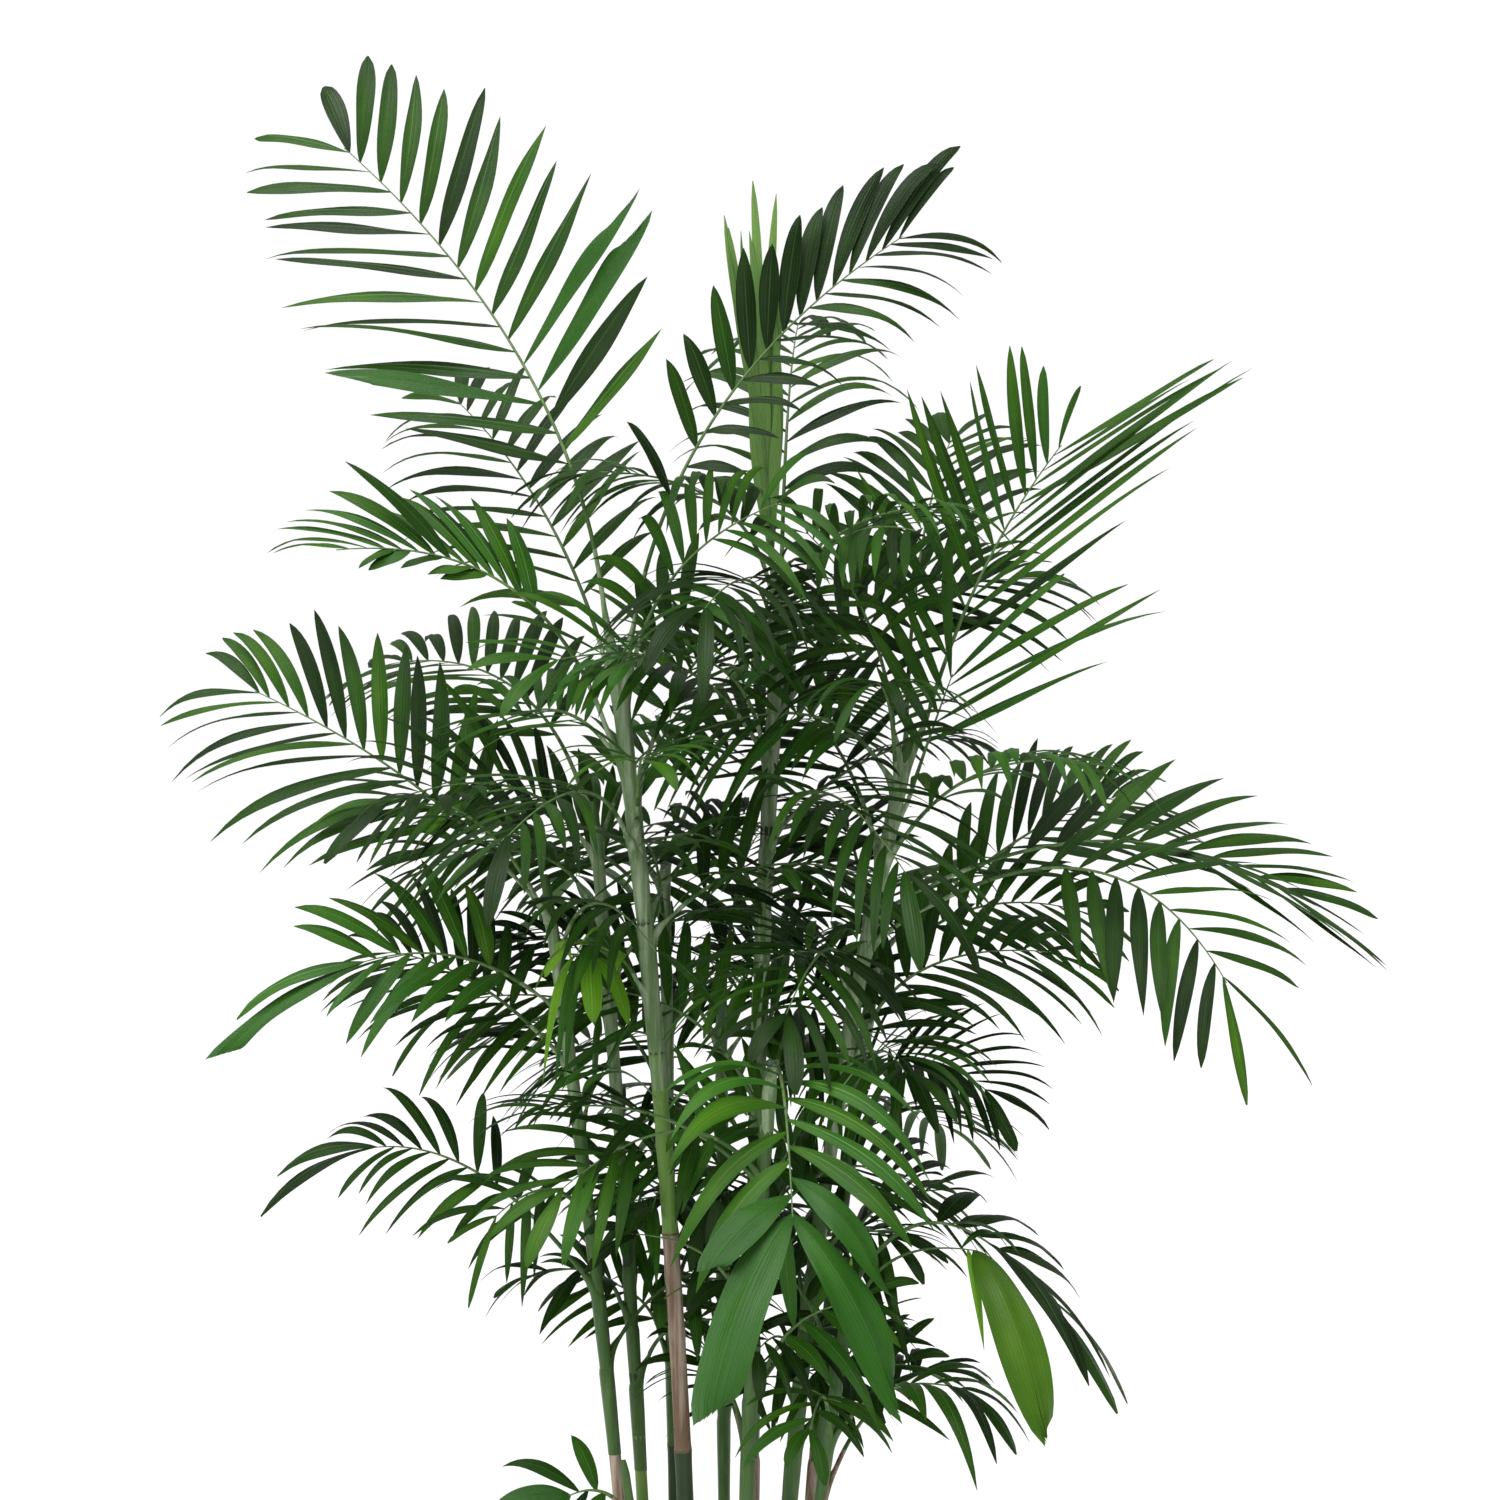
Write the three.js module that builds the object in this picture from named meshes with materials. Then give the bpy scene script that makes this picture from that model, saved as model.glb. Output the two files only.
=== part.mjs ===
// A bamboo palm in a plain round pot. Slender canes rise from the soil, and each carries feather-shaped
// fronds: a petiole that runs on as a rib, with narrow leaflets along both of its sides.
// Millimetres, +Z up. The origin is the centre of the pot's flat underside, and the front faces -Y.
// Angles are in degrees. An azimuth of 0 points to +X and 90 to +Y, which is the back of the plant.
import * as THREE from 'three';
import { OBB } from 'three/addons/math/OBB.js';

const UP = new THREE.Vector3(0, 0, 1);

// Bare space between two solids that rest on or in each other
const seatGap = 0.3;

const pot = {
  height: 300,
  footRadius: 126,
  topRadius: 160,
  wall: 5,
  floor: 8,
  rimOut: 9,
  rimDepth: 34,
  lip: 4,
  bevel: 3,
  turn: 2,
  sides: 40,
};
const soilTop = 275;

// Each cane stands with a flat cut on the soil and leans in a shallow bow to its top
const canes = {
  front: { foot: [-25, -40], top: [-108, -55, 1400], bow: [14, 0], radius: [9.5, 7.5] },
  low_front: { foot: [30, -60], top: [62, -95, 960], bow: [-6, 0], radius: [7.5, 6] },
  low_right: { foot: [85, -50], top: [150, -110, 760], bow: [0, 0], radius: [6.5, 5] },
  right: { foot: [70, -20], top: [215, -10, 1300], bow: [-25, 0], radius: [8.5, 6.5] },
  left: { foot: [-88, -10], top: [-190, 30, 1150], bow: [6, 10], radius: [7, 5.5] },
  middle: { foot: [40, 20], top: [75, 30, 1480], bow: [-12, 0], radius: [9, 7] },
  back_right: { foot: [95, 30], top: [190, 120, 1080], bow: [-10, 10], radius: [7.5, 6] },
  back_left: { foot: [-72, 30], top: [-140, 90, 1230], bow: [4, 10], radius: [7, 5.5] },
  back_middle: { foot: [-45, 60], top: [-60, 120, 1180], bow: [0, 10], radius: [6.5, 5] },
  back: { foot: [10, 70], top: [5, 150, 1000], bow: [0, 10], radius: [6.5, 5.5] },
  low_left: { foot: [-60, -75], top: [-95, -110, 540], bow: [0, 0], radius: [6, 4.5] },
};
const caneSides = 10;
const caneSteps = 8;

// What a frond is like where its own line below does not say otherwise.
// height is where it leaves its cane. reach and rise run from there to the rib's tip. launch is the angle
// at which it leaves, and pull is how far that start draws the rib, as a share of its length. petiole is the
// bare share of the rib. facing is where the blade's upper side looks, as azimuth and elevation; null is the
// natural way, up and back to the cane. leaflet and width are the longest leaflet's size. gather is the power
// by which pairs move closer towards the tip; 1 is even. spread is the angle between leaflet and rib at the
// first and last pair, lift raises the leaflets out of the blade, and droop is their sag as a share of their
// length. terminal lengthens the last pair, fork is half the angle between its two leaflets, broad widens
// them, and swell widens the pairs just before them. late is the part of the usual length curve that the
// frond runs through, backwards if it is negative. dense lets leaflets overlap, skew spreads the left ones and
// folds the right ones to the rib, wild makes them less even, and sides scales the left and the right ones.
// A young frond is pale and still unfolding.
const plainFrond = {
  launch: 60,
  pull: 0.55,
  petiole: 0.25,
  pairs: 12,
  facing: null,
  leaflet: 180,
  width: 17,
  spread: [62, 38],
  lift: 14,
  droop: 0.16,
  terminal: 1,
  fork: 25,
  broad: 1,
  swell: 0,
  late: 1,
  gather: 0.93,
  dense: 1,
  skew: 0,
  wild: 1,
  sides: [1, 1],
  young: false,
};

const fronds = {
  front: [
    { height: 1388, azimuth: 140, reach: 445, rise: 620, launch: 88, pull: 0.4, petiole: 0.33, pairs: 14,
      facing: [-90, 10], leaflet: 250, width: 22, spread: [64, 44], droop: 0.07 },
    { height: 1330, azimuth: 120, reach: 450, rise: 390, launch: 66, pull: 0.4, facing: [-90, 30],
      leaflet: 200 },
    { height: 1270, azimuth: 190, reach: 310, rise: 228, launch: 76, pull: 0.68, petiole: 0.4, pairs: 14,
      facing: [-60, 40], leaflet: 160, width: 17, spread: [38, 28], droop: 0.12, terminal: 0.8, fork: 24,
      broad: 1.5, dense: 0.85, sides: [0.35, 1.05] },
    { height: 1370, azimuth: 20, reach: 335, rise: 495, launch: 85, pull: 0.5, petiole: 0.3, pairs: 14,
      facing: [-90, 10], leaflet: 215, width: 16, spread: [58, 29], droop: 0.2, terminal: 1.1, broad: 0.6,
      late: -0.75, gather: 0.65, dense: 1.6, skew: -4, wild: 1.6, sides: [1, 0.62] },
    { height: 1240, azimuth: 60, reach: 330, rise: 200, launch: 66, leaflet: 190 },
    { height: 1180, azimuth: -120, reach: 240, rise: 20, launch: 62, pairs: 11, leaflet: 170, droop: 0.3 },
    { height: 1090, azimuth: 10, reach: 240, rise: 60, launch: 50, pairs: 10, facing: [-90, 50],
      leaflet: 160 },
  ],
  low_front: [
    { height: 945, azimuth: -87, reach: 330, rise: -95, launch: 20, pull: 0.6, petiole: 0.2, pairs: 8,
      facing: [-90, 50], spread: [62, 50], droop: 0.3, terminal: 1.6, fork: 36, broad: 1.35, swell: 2.6,
      late: 1.15, wild: 2 },
    { height: 900, azimuth: 150, reach: 240, rise: 120, launch: 66, pairs: 11, facing: [-90, 40],
      leaflet: 160 },
    { height: 840, azimuth: -150, reach: 240, rise: 0, launch: 50, pairs: 10, facing: [-90, 50],
      leaflet: 150 },
    { height: 780, azimuth: 35, reach: 220, rise: 20, launch: 50, pairs: 10, facing: [-90, 50],
      leaflet: 160 },
  ],
  low_right: [
    { height: 690, azimuth: -24, reach: 145, rise: 80, launch: 75, petiole: 0.3, pairs: 2,
      facing: [-70, 35], leaflet: 105, width: 22, droop: 0.8, terminal: 2.3, fork: 46, broad: 0.72 },
    { height: 735, azimuth: -5, reach: 200, rise: -20, launch: 58, pull: 0.7, petiole: 0.45, pairs: 6,
      leaflet: 150, width: 19, spread: [60, 38], droop: 0.3, terminal: 1.6, broad: 0.6, dense: 2.5,
      wild: 2.5 },
    { height: 560, azimuth: -20, reach: 150, rise: 60, pairs: 5, leaflet: 130, width: 18, droop: 0.5 },
  ],
  right: [
    { height: 1285, azimuth: 10, reach: 175, rise: 340, launch: 75, facing: [-85, 20], leaflet: 235,
      width: 12, spread: [42, 35], droop: 0.04, terminal: 0.6, late: 1.12, skew: 9, wild: 1.8,
      sides: [1, 1.4] },
    { height: 1260, azimuth: 70, reach: 200, rise: 390, launch: 88, pull: 0.6, pairs: 13,
      facing: [-100, 40] },
    { height: 1215, azimuth: -10, reach: 65, rise: 155, launch: 72, pull: 0.5, petiole: 0.4, pairs: 5,
      facing: [-95, 30], leaflet: 315, width: 11, spread: [48, 40], droop: 0.06, sides: [0.5, 1] },
    { height: 1080, azimuth: -20, reach: 390, rise: -35, launch: 35, pull: 0.8, petiole: 0.4, pairs: 9,
      facing: [-80, 50], leaflet: 175, width: 13, spread: [70, 54], lift: 0, droop: 0.1, terminal: 1.3,
      broad: 0.7, skew: -4 },
    { height: 1110, azimuth: 10, reach: 505, rise: 0, launch: 30, pull: 0.6, petiole: 0.3, pairs: 12,
      facing: [-110, 55], leaflet: 205, spread: [44, 22], droop: 0.05, dense: 1.4, wild: 1.8 },
    { height: 1170, azimuth: 120, reach: 330, rise: 200, launch: 66, facing: [-90, 40], leaflet: 190 },
    { height: 1020, azimuth: -110, reach: 240, rise: 0, pairs: 11, facing: [-90, 40], leaflet: 170 },
  ],
  left: [
    { height: 1110, azimuth: 165, reach: 360, rise: 245, launch: 50, pull: 0.45, pairs: 13,
      facing: [-85, 25], leaflet: 205, width: 15.5, spread: [60, 34] },
    { height: 1000, azimuth: 195, reach: 225, rise: 55, launch: 42, pull: 0.58, pairs: 7,
      facing: [-85, 35], leaflet: 150, width: 18, droop: 0.12, terminal: 1.75, fork: 10, broad: 0.68,
      wild: 2.5 },
    { height: 700, azimuth: 185, reach: 245, rise: 150, launch: 54, pull: 0.7, pairs: 9,
      facing: [-80, 40], leaflet: 140, width: 10, droop: 0.3, terminal: 1.6, fork: 12, broad: 1.1,
      wild: 3.5, sides: [0.8, 1] },
    { height: 1060, azimuth: -60, reach: 240, rise: 20, pairs: 11, leaflet: 160, droop: 0.3 },
    { height: 880, azimuth: 110, reach: 300, rise: 60, launch: 55, pairs: 11, facing: [-90, 40],
      leaflet: 170 },
    { height: 620, azimuth: 45, reach: 200, rise: 60, launch: 50, pairs: 9, facing: [-90, 40], leaflet: 150 },
  ],
  middle: [
    { height: 1465, azimuth: 150, reach: 30, rise: 225, launch: 88, petiole: 0.05, pairs: 6,
      facing: [-90, 10], leaflet: 250, width: 14, spread: [13, 10], lift: 2, droop: 0, fork: 7, late: 0.6,
      dense: 0.8, wild: 1.5, young: true },
    { height: 1435, azimuth: 85, reach: 300, rise: 380, launch: 80, leaflet: 190, droop: 0.4 },
    { height: 1400, azimuth: -110, reach: 230, rise: 30, launch: 72, droop: 0.4 },
    { height: 1330, azimuth: 10, reach: 280, rise: 150, facing: [-90, 60] },
    { height: 1280, azimuth: 215, reach: 280, rise: 100, facing: [-90, 50] },
    { height: 1180, azimuth: -60, reach: 280, rise: -20, droop: 0.3 },
  ],
  back_right: [
    { height: 1060, azimuth: 20, reach: 305, rise: 170, launch: 40, pull: 0.7, facing: [-90, 40],
      spread: [50, 30] },
    { height: 1000, azimuth: 80, reach: 330, rise: 120, leaflet: 190 },
    { height: 900, azimuth: -35, reach: 170, rise: 10, launch: 50, pairs: 10, facing: [-90, 60],
      leaflet: 130 },
  ],
  back_left: [
    { height: 1215, azimuth: 140, reach: 330, rise: 180, launch: 70, facing: [-90, 50], leaflet: 190 },
    { height: 1170, azimuth: -160, reach: 240, rise: 60, launch: 62, facing: [-90, 50], leaflet: 170 },
    { height: 1080, azimuth: 100, reach: 330, rise: 40, launch: 50 },
  ],
  back_middle: [
    { height: 1165, azimuth: 50, reach: 300, rise: 160, launch: 66, facing: [-90, 40] },
    { height: 1100, azimuth: 160, reach: 300, rise: 60, launch: 55, facing: [-90, 40] },
  ],
  back: [
    { height: 985, azimuth: 80, reach: 300, rise: 200, launch: 70 },
    { height: 930, azimuth: -40, reach: 260, rise: 20, pairs: 11, facing: [-90, 40] },
    { height: 870, azimuth: 130, reach: 300, rise: 40, launch: 50, pairs: 11, facing: [-90, 40] },
    { height: 760, azimuth: -90, reach: 150, rise: 40, pairs: 9, leaflet: 150, droop: 0.4 },
    { height: 540, azimuth: -50, reach: 170, rise: 60, pairs: 8, leaflet: 150, droop: 0.4 },
  ],
  low_left: [
    { height: 490, azimuth: 200, reach: 70, rise: 15, launch: 50, pairs: 3, facing: [-80, 35],
      leaflet: 105, width: 26, terminal: 1.3 },
  ],
};

// The solids carry fewer and somewhat broader leaflets than the living plant
const pairShare = 0.8;
const broader = 1.18;
const thicknessShare = 0.012;
const ribWidth = [6.5, 3];
const ribDepth = [6, 3.6];
const petioleSteps = 4;
const footHeight = 7;
const footDepth = 4;

// A leaflet is broadest at its ring and sags more and more towards its tip. Those in the middle of a frond
// are a little fuller, and none takes more than its share of the space to its neighbour.
const ringAt = 0.42;
const sagPower = 2.2;
const thinnest = 2;
const crowding = 0.86;
const fullness = { least: 0.85, more: 0.25, start: 0.2 };

// The last pair is a short, broad fork, and swell grows steeply towards it
const swellPower = 7;
const terminalShare = 0.55;
const terminalWidth = 1.2;
const terminalCrowding = 0.9;

// A leaflet's length along its frond, as the terms of a cubic from the first pair to the last
const lengthCurve = [0.74, 1.25, -2.1, 0.65];

// How far leaflets stray from the rule: spread and lift in degrees, length and droop as shares.
// Each has its own place in the row of repeatable numbers, and each frond a stretch of that row.
const stray = {
  spread: { most: 2, place: 0 },
  lift: { most: 7, place: 0.37 },
  length: { most: 0.05, place: 0.71 },
  droop: { most: 0.35, place: 0.13 },
};
const seedStretch = 101;

// A leaflet that would touch something is raised or lowered, then shortened, then left out
const liftTries = [0, 9, -9, 18, -18, 27, -27];
const lengthTries = [1, 0.8, 0.6];
const leafletClearance = 0.25;
const rootSlack = 0.6;
const ribBoxSteps = 10;

const colours = {
  pot: new THREE.Color(0.07, 0.075, 0.08),
  soil: new THREE.Color(0.1, 0.065, 0.04),
  cane: new THREE.Color(0.16, 0.27, 0.12),
  frond: new THREE.Color(0.045, 0.17, 0.035),
  youngFrond: new THREE.Color(0.2, 0.42, 0.1),
};

const plant = new THREE.Group();

function finish(colour, roughness) {
  return new THREE.MeshStandardMaterial({ color: colour, roughness, metalness: 0 });
}

function add(name, geometry, colour, roughness) {
  const mesh = new THREE.Mesh(geometry, finish(colour, roughness));
  mesh.name = name;
  plant.add(mesh);
}

function radians(degrees) {
  return (degrees * Math.PI) / 180;
}

function mix(a, b, share) {
  return a + (b - a) * share;
}

function heading(azimuth, elevation) {
  const flat = Math.cos(radians(elevation));
  return new THREE.Vector3(
    flat * Math.cos(radians(azimuth)),
    flat * Math.sin(radians(azimuth)),
    Math.sin(radians(elevation)),
  );
}

// A repeatable number from -1 to 1 for each seed
function wander(seed) {
  const wave = Math.sin(seed * 12.9898 + 4.1) * 43758.5453;
  return 2 * (wave - Math.floor(wave)) - 1;
}

function strayed({ most, place }, seed) {
  return most * wander(seed + place);
}

// The box round a straight stretch from one point to another; normal is its thin direction
function stretchBox(from, to, normal, halfWidth, halfDepth) {
  const along = to.clone().sub(from);
  const length = along.length();
  along.normalize();
  const across = new THREE.Vector3().crossVectors(along, normal).normalize();
  const thin = new THREE.Vector3().crossVectors(across, along);
  const turn = new THREE.Matrix3().set(
    along.x, across.x, thin.x,
    along.y, across.y, thin.y,
    along.z, across.z, thin.z,
  );
  const middle = from.clone().add(to).multiplyScalar(0.5);
  return new OBB(middle, new THREE.Vector3(length / 2, halfWidth, halfDepth), turn);
}

function touchesAny(boxes, others) {
  return boxes.some((box) => others.some((other) => box.intersectsOBB(other)));
}

// A lathe profile of the pot's wall, floor and folded rim, closed on the axis
function buildPot() {
  const rimFoot = pot.height - pot.rimDepth;
  const rimRadius = pot.topRadius + pot.rimOut;
  const radiusAt = (z) => mix(pot.footRadius, pot.topRadius, z / pot.height);
  const profile = [
    [0, 0],
    [pot.footRadius - pot.bevel, 0],
    [pot.footRadius, pot.bevel],
    [radiusAt(rimFoot), rimFoot],
    [rimRadius - pot.turn, rimFoot + pot.turn],
    [rimRadius, pot.height - pot.lip],
    [rimRadius - pot.lip, pot.height],
    [pot.topRadius - pot.wall + pot.turn, pot.height],
    [pot.topRadius - pot.wall, pot.height - pot.turn],
    [radiusAt(pot.floor) - pot.wall, pot.floor],
    [0, pot.floor],
  ].map(([radius, z]) => new THREE.Vector2(radius, z));
  return new THREE.LatheGeometry(profile, pot.sides).rotateX(Math.PI / 2);
}

// The filling follows the pot's inside, and its top is the ground that the canes stand on
function buildSoil() {
  const inner = (z) => mix(pot.footRadius, pot.topRadius, z / pot.height) - pot.wall - 2 * seatGap;
  const bottom = pot.floor + seatGap;
  const profile = [
    [0, bottom],
    [inner(bottom), bottom],
    [inner(soilTop), soilTop],
    [0, soilTop],
  ].map(([radius, z]) => new THREE.Vector2(radius, z));
  return new THREE.LatheGeometry(profile, pot.sides).rotateX(Math.PI / 2);
}

// A cane's middle line, its radius and its solid
class Cane {
  constructor({ foot, top, bow, radius }) {
    this.foot = new THREE.Vector3(foot[0], foot[1], soilTop + seatGap);
    this.top = new THREE.Vector3(...top);
    this.bow = new THREE.Vector3(bow[0], bow[1], 0);
    this.radius = radius;
  }

  share(z) {
    return (z - this.foot.z) / (this.top.z - this.foot.z);
  }

  ringCentre(i) {
    const share = i / caneSteps;
    const point = this.foot.clone().lerp(this.top, share);
    return point.addScaledVector(this.bow, 4 * share * (1 - share));
  }

  // The middle line is straight from one ring of the solid to the next
  at(z) {
    const steps = this.share(z) * caneSteps;
    const below = Math.min(caneSteps - 1, Math.floor(steps));
    return this.ringCentre(below).lerp(this.ringCentre(below + 1), steps - below);
  }

  radiusAt(z) {
    return mix(this.radius[0], this.radius[1], this.share(z));
  }

  // How far the many-sided skin reaches towards an azimuth, at the corner that is nearest to it
  reachAt(z, azimuth) {
    const side = 360 / caneSides;
    const fromCorner = (azimuth + 90) / side;
    const turn = (fromCorner - Math.round(fromCorner)) * side;
    return this.radiusAt(z) * Math.cos(radians(turn));
  }

  build() {
    const height = this.top.z - this.foot.z;
    const solid = new THREE.CylinderGeometry(this.radius[1], this.radius[0], height, caneSides, caneSteps);
    solid.rotateX(Math.PI / 2).translate(0, 0, this.foot.z + height / 2);
    const places = solid.getAttribute('position');
    for (let i = 0; i < places.count; i += 1) {
      const middle = this.ringCentre(Math.round(this.share(places.getZ(i)) * caneSteps));
      places.setXY(i, places.getX(i) + middle.x, places.getY(i) + middle.y);
    }
    return solid;
  }

  boxes() {
    return Array.from({ length: caneSteps }, (_, i) => {
      const low = this.ringCentre(i);
      const half = this.radiusAt(low.z) + leafletClearance;
      return stretchBox(low, this.ringCentre(i + 1), new THREE.Vector3(0, 1, 0), half, half);
    });
  }
}

// A closed triangle mesh that grows point by point
class Skin {
  constructor() {
    this.points = [];
    this.faces = [];
  }

  point(place) {
    this.points.push(place.x, place.y, place.z);
    return this.points.length / 3 - 1;
  }

  face(a, b, c, flip = false) {
    this.faces.push(a, flip ? c : b, flip ? b : c);
  }

  quad(a, b, c, d) {
    this.face(a, b, c);
    this.face(a, c, d);
  }

  geometry() {
    const geometry = new THREE.BufferGeometry();
    geometry.setAttribute('position', new THREE.Float32BufferAttribute(this.points, 3));
    geometry.setIndex(this.faces);
    return geometry;
  }
}

// A frond: its rib is a curve in one upright plane, and its leaflets stand alternately on the rib's two sides
class Frond {
  constructor(cane, given, seed) {
    Object.assign(this, plainFrond, given);
    this.seed = seed;
    this.pairs = Math.max(2, Math.round(this.pairs * pairShare));
    const out = heading(this.azimuth, 0);
    const offset = cane.reachAt(this.height, this.azimuth) + seatGap;
    const axis = cane.at(this.height);
    this.out = out;
    this.lean = cane.at(this.height + 1).sub(axis).dot(out);
    this.footCentre = axis.clone().addScaledVector(out, offset);
    this.start = axis.clone().addScaledVector(out, offset + footDepth);
    this.end = axis.clone().addScaledVector(out, this.reach).addScaledVector(UP, this.rise);
    const length = Math.hypot(this.reach, this.rise) * this.pull;
    this.bend = this.start.clone().addScaledVector(heading(this.azimuth, this.launch), length);
    const natural = [this.azimuth + 180, 65];
    this.face = heading(...(this.facing ?? natural));
    this.spacing = (Math.hypot(this.reach, this.rise) * (1 - this.petiole)) / (this.pairs - 0.5);
  }

  at(t) {
    const a = this.start.clone().lerp(this.bend, t);
    const b = this.bend.clone().lerp(this.end, t);
    return a.lerp(b, t);
  }

  // Forward along the rib, the blade's upper side, and across it to the right
  frame(t) {
    const before = this.bend.clone().sub(this.start);
    const after = this.end.clone().sub(this.bend);
    const along = before.lerp(after, t).normalize();
    const upper = this.face.clone().addScaledVector(along, -this.face.dot(along)).normalize();
    return { along, upper, across: new THREE.Vector3().crossVectors(along, upper) };
  }

  // Where joint number i of the leafy stretch lies; each leaflet takes the stretch between two joints
  joint(i) {
    return this.petiole + (1 - this.petiole) * (i / (2 * this.pairs - 1)) ** this.gather;
  }

  ribSection(t) {
    const { upper, across } = this.frame(t);
    const middle = this.at(t);
    const half = mix(ribWidth[0], ribWidth[1], t) / 2;
    const deep = mix(ribDepth[0], ribDepth[1], t) / 2;
    return {
      left: middle.clone().addScaledVector(across, -half).addScaledVector(upper, deep),
      right: middle.clone().addScaledVector(across, half).addScaledVector(upper, deep),
      low: middle.clone().addScaledVector(upper, -deep),
    };
  }

  // The petiole's foot is flat against the cane, with its keel pointing the way that the rib's keel does
  footSection() {
    const { upper, across } = this.frame(0);
    const flatten = (way) => way.clone().addScaledVector(this.out, -way.dot(this.out));
    const sideways = flatten(across);
    const lengthwise = flatten(upper);
    const endOn = 0.3;
    if (Math.min(sideways.length(), lengthwise.length()) < endOn) {
      const level = new THREE.Vector3().crossVectors(UP, this.out);
      const facingOut = upper.dot(this.out) > 0 ? -1 : 1;
      sideways.copy(level).multiplyScalar(Math.sign(level.dot(across)) || 1);
      lengthwise.copy(UP).multiplyScalar(facingOut);
    }
    sideways.normalize().multiplyScalar(ribWidth[0] / 2);
    lengthwise.normalize().multiplyScalar(footHeight / 2);
    const seated = (offset) => this.footCentre.clone()
      .add(offset)
      .addScaledVector(this.out, this.lean * offset.z);
    return {
      left: seated(lengthwise.clone().sub(sideways)),
      right: seated(lengthwise.clone().add(sideways)),
      low: seated(lengthwise.clone().negate()),
    };
  }

  ribBoxes() {
    return Array.from({ length: ribBoxSteps }, (_, i) => {
      const middle = (i + 0.5) / ribBoxSteps;
      const half = mix(ribWidth[0], ribWidth[1], middle) / 2 + leafletClearance;
      const [from, to] = [this.at(i / ribBoxSteps), this.at((i + 1) / ribBoxSteps)];
      return stretchBox(from, to, this.frame(middle).upper, half, half + rootSlack);
    });
  }

  // One leaflet's points for a given extra lift and a share of its length
  shapeLeaflet(number, isRight, lift, share) {
    const last = number === this.pairs - 1;
    const along = number / (this.pairs - 1);
    const seed = this.seed * seedStretch + number * 2 + (isRight ? 1 : 0);
    const first = last ? 2 * number : 2 * number + (isRight ? 1 : 0);
    const t = (this.joint(first) + this.joint(first + 1)) / 2;
    const { along: forward, upper, across } = this.frame(t);
    const side = across.clone().multiplyScalar(isRight ? 1 : -1);
    const skewed = mix(this.spread[0], this.spread[1], along) + this.skew * (isRight ? -1 : 1);
    const spread = last ? this.fork : skewed + this.wild * strayed(stray.spread, seed);
    const raised = radians(this.lift + this.wild * strayed(stray.lift, seed) + lift);
    const way = side.clone().multiplyScalar(Math.cos(raised)).addScaledVector(upper, Math.sin(raised));
    way.multiplyScalar(Math.sin(radians(spread))).addScaledVector(forward, Math.cos(radians(spread)));
    const full = this.leaflet * (1 + this.wild * strayed(stray.length, seed)) * share;
    const length = full * (last ? terminalShare * this.terminal : this.lengthShare(along, isRight));
    const width = this.leafletWidth(last, along, length, radians(spread));
    const droop = this.droop * (1 + strayed(stray.droop, seed));
    const root = this.at(t);
    const place = (q) => root.clone()
      .addScaledVector(way, length * q)
      .addScaledVector(UP, -length * droop * q ** sagPower);
    const ring = place(ringAt);
    const tip = place(1);
    const run = ring.clone().sub(root).normalize();
    const far = forward.clone().addScaledVector(run, -forward.dot(run)).normalize();
    const thick = new THREE.Vector3().crossVectors(far, run).multiplyScalar(isRight ? -1 : 1);
    const thickness = Math.max(thinnest, thicknessShare * length);
    return {
      isRight,
      first,
      near: ring.clone().addScaledVector(far, -width / 2),
      far: ring.clone().addScaledVector(far, width / 2),
      ridge: ring.clone().addScaledVector(thick, thickness),
      tip,
      boxes: this.leafletBoxes(root, ring, tip, thick, width, thickness),
    };
  }

  // Leaflets are usually longest a third of the way along and shorten towards the tip
  lengthShare(along, isRight) {
    const run = along * this.late + (this.late < 0 ? 1 : 0);
    const curve = lengthCurve.reduce((sum, term, power) => sum + term * run ** power, 0);
    return curve * this.sides[isRight ? 1 : 0];
  }

  // Never so broad that a leaflet meets its neighbour unless they may overlap, or the last pair each other
  leafletWidth(last, along, length, spread) {
    if (last) {
      const room = 2 * terminalCrowding * ringAt * length * Math.sin(spread);
      return Math.min(this.width * broader * terminalWidth * this.terminal * this.broad, room);
    }
    const { least, more, start } = fullness;
    const fuller = least + more * Math.sin(Math.PI * Math.min(1, start + along));
    const room = crowding * this.dense * this.spacing * Math.sin(spread);
    return (1 + this.swell * along ** swellPower) * Math.min(this.width * broader * fuller, room);
  }

  // Three boxes round a leaflet, from just off the rib to its tip
  leafletBoxes(root, ring, tip, thick, width, thickness) {
    const lifted = (point, share) => point.clone().addScaledVector(thick, (thickness / 2) * share);
    const inner = lifted(root.clone().lerp(ring, 0.12), 1);
    const half = width / 2 + leafletClearance;
    const deep = thickness / 2 + leafletClearance;
    const waist = ring.clone().lerp(tip, 0.5);
    return [
      stretchBox(inner, lifted(ring, 1), thick, half, deep + rootSlack),
      stretchBox(lifted(ring, 1), lifted(waist, 0.5), thick, half, deep),
      stretchBox(lifted(waist, 0.5), tip, thick, half / 2, deep * 0.75),
    ];
  }

  // The first way of growing the leaflet that touches nothing, or null
  freeLeaflet(number, isRight, taken) {
    for (const share of lengthTries) {
      for (const lift of liftTries) {
        const leaflet = this.shapeLeaflet(number, isRight, lift, share);
        if (!touchesAny(leaflet.boxes, taken)) {
          return leaflet;
        }
      }
    }
    return null;
  }

  build(taken) {
    const leaflets = [];
    for (let number = 0; number < this.pairs; number += 1) {
      const pair = [false, true].map((isRight) => this.freeLeaflet(number, isRight, taken)).filter(Boolean);
      pair.forEach((leaflet) => taken.push(...leaflet.boxes));
      leaflets.push(...pair);
    }
    return this.skin(leaflets);
  }

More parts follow.
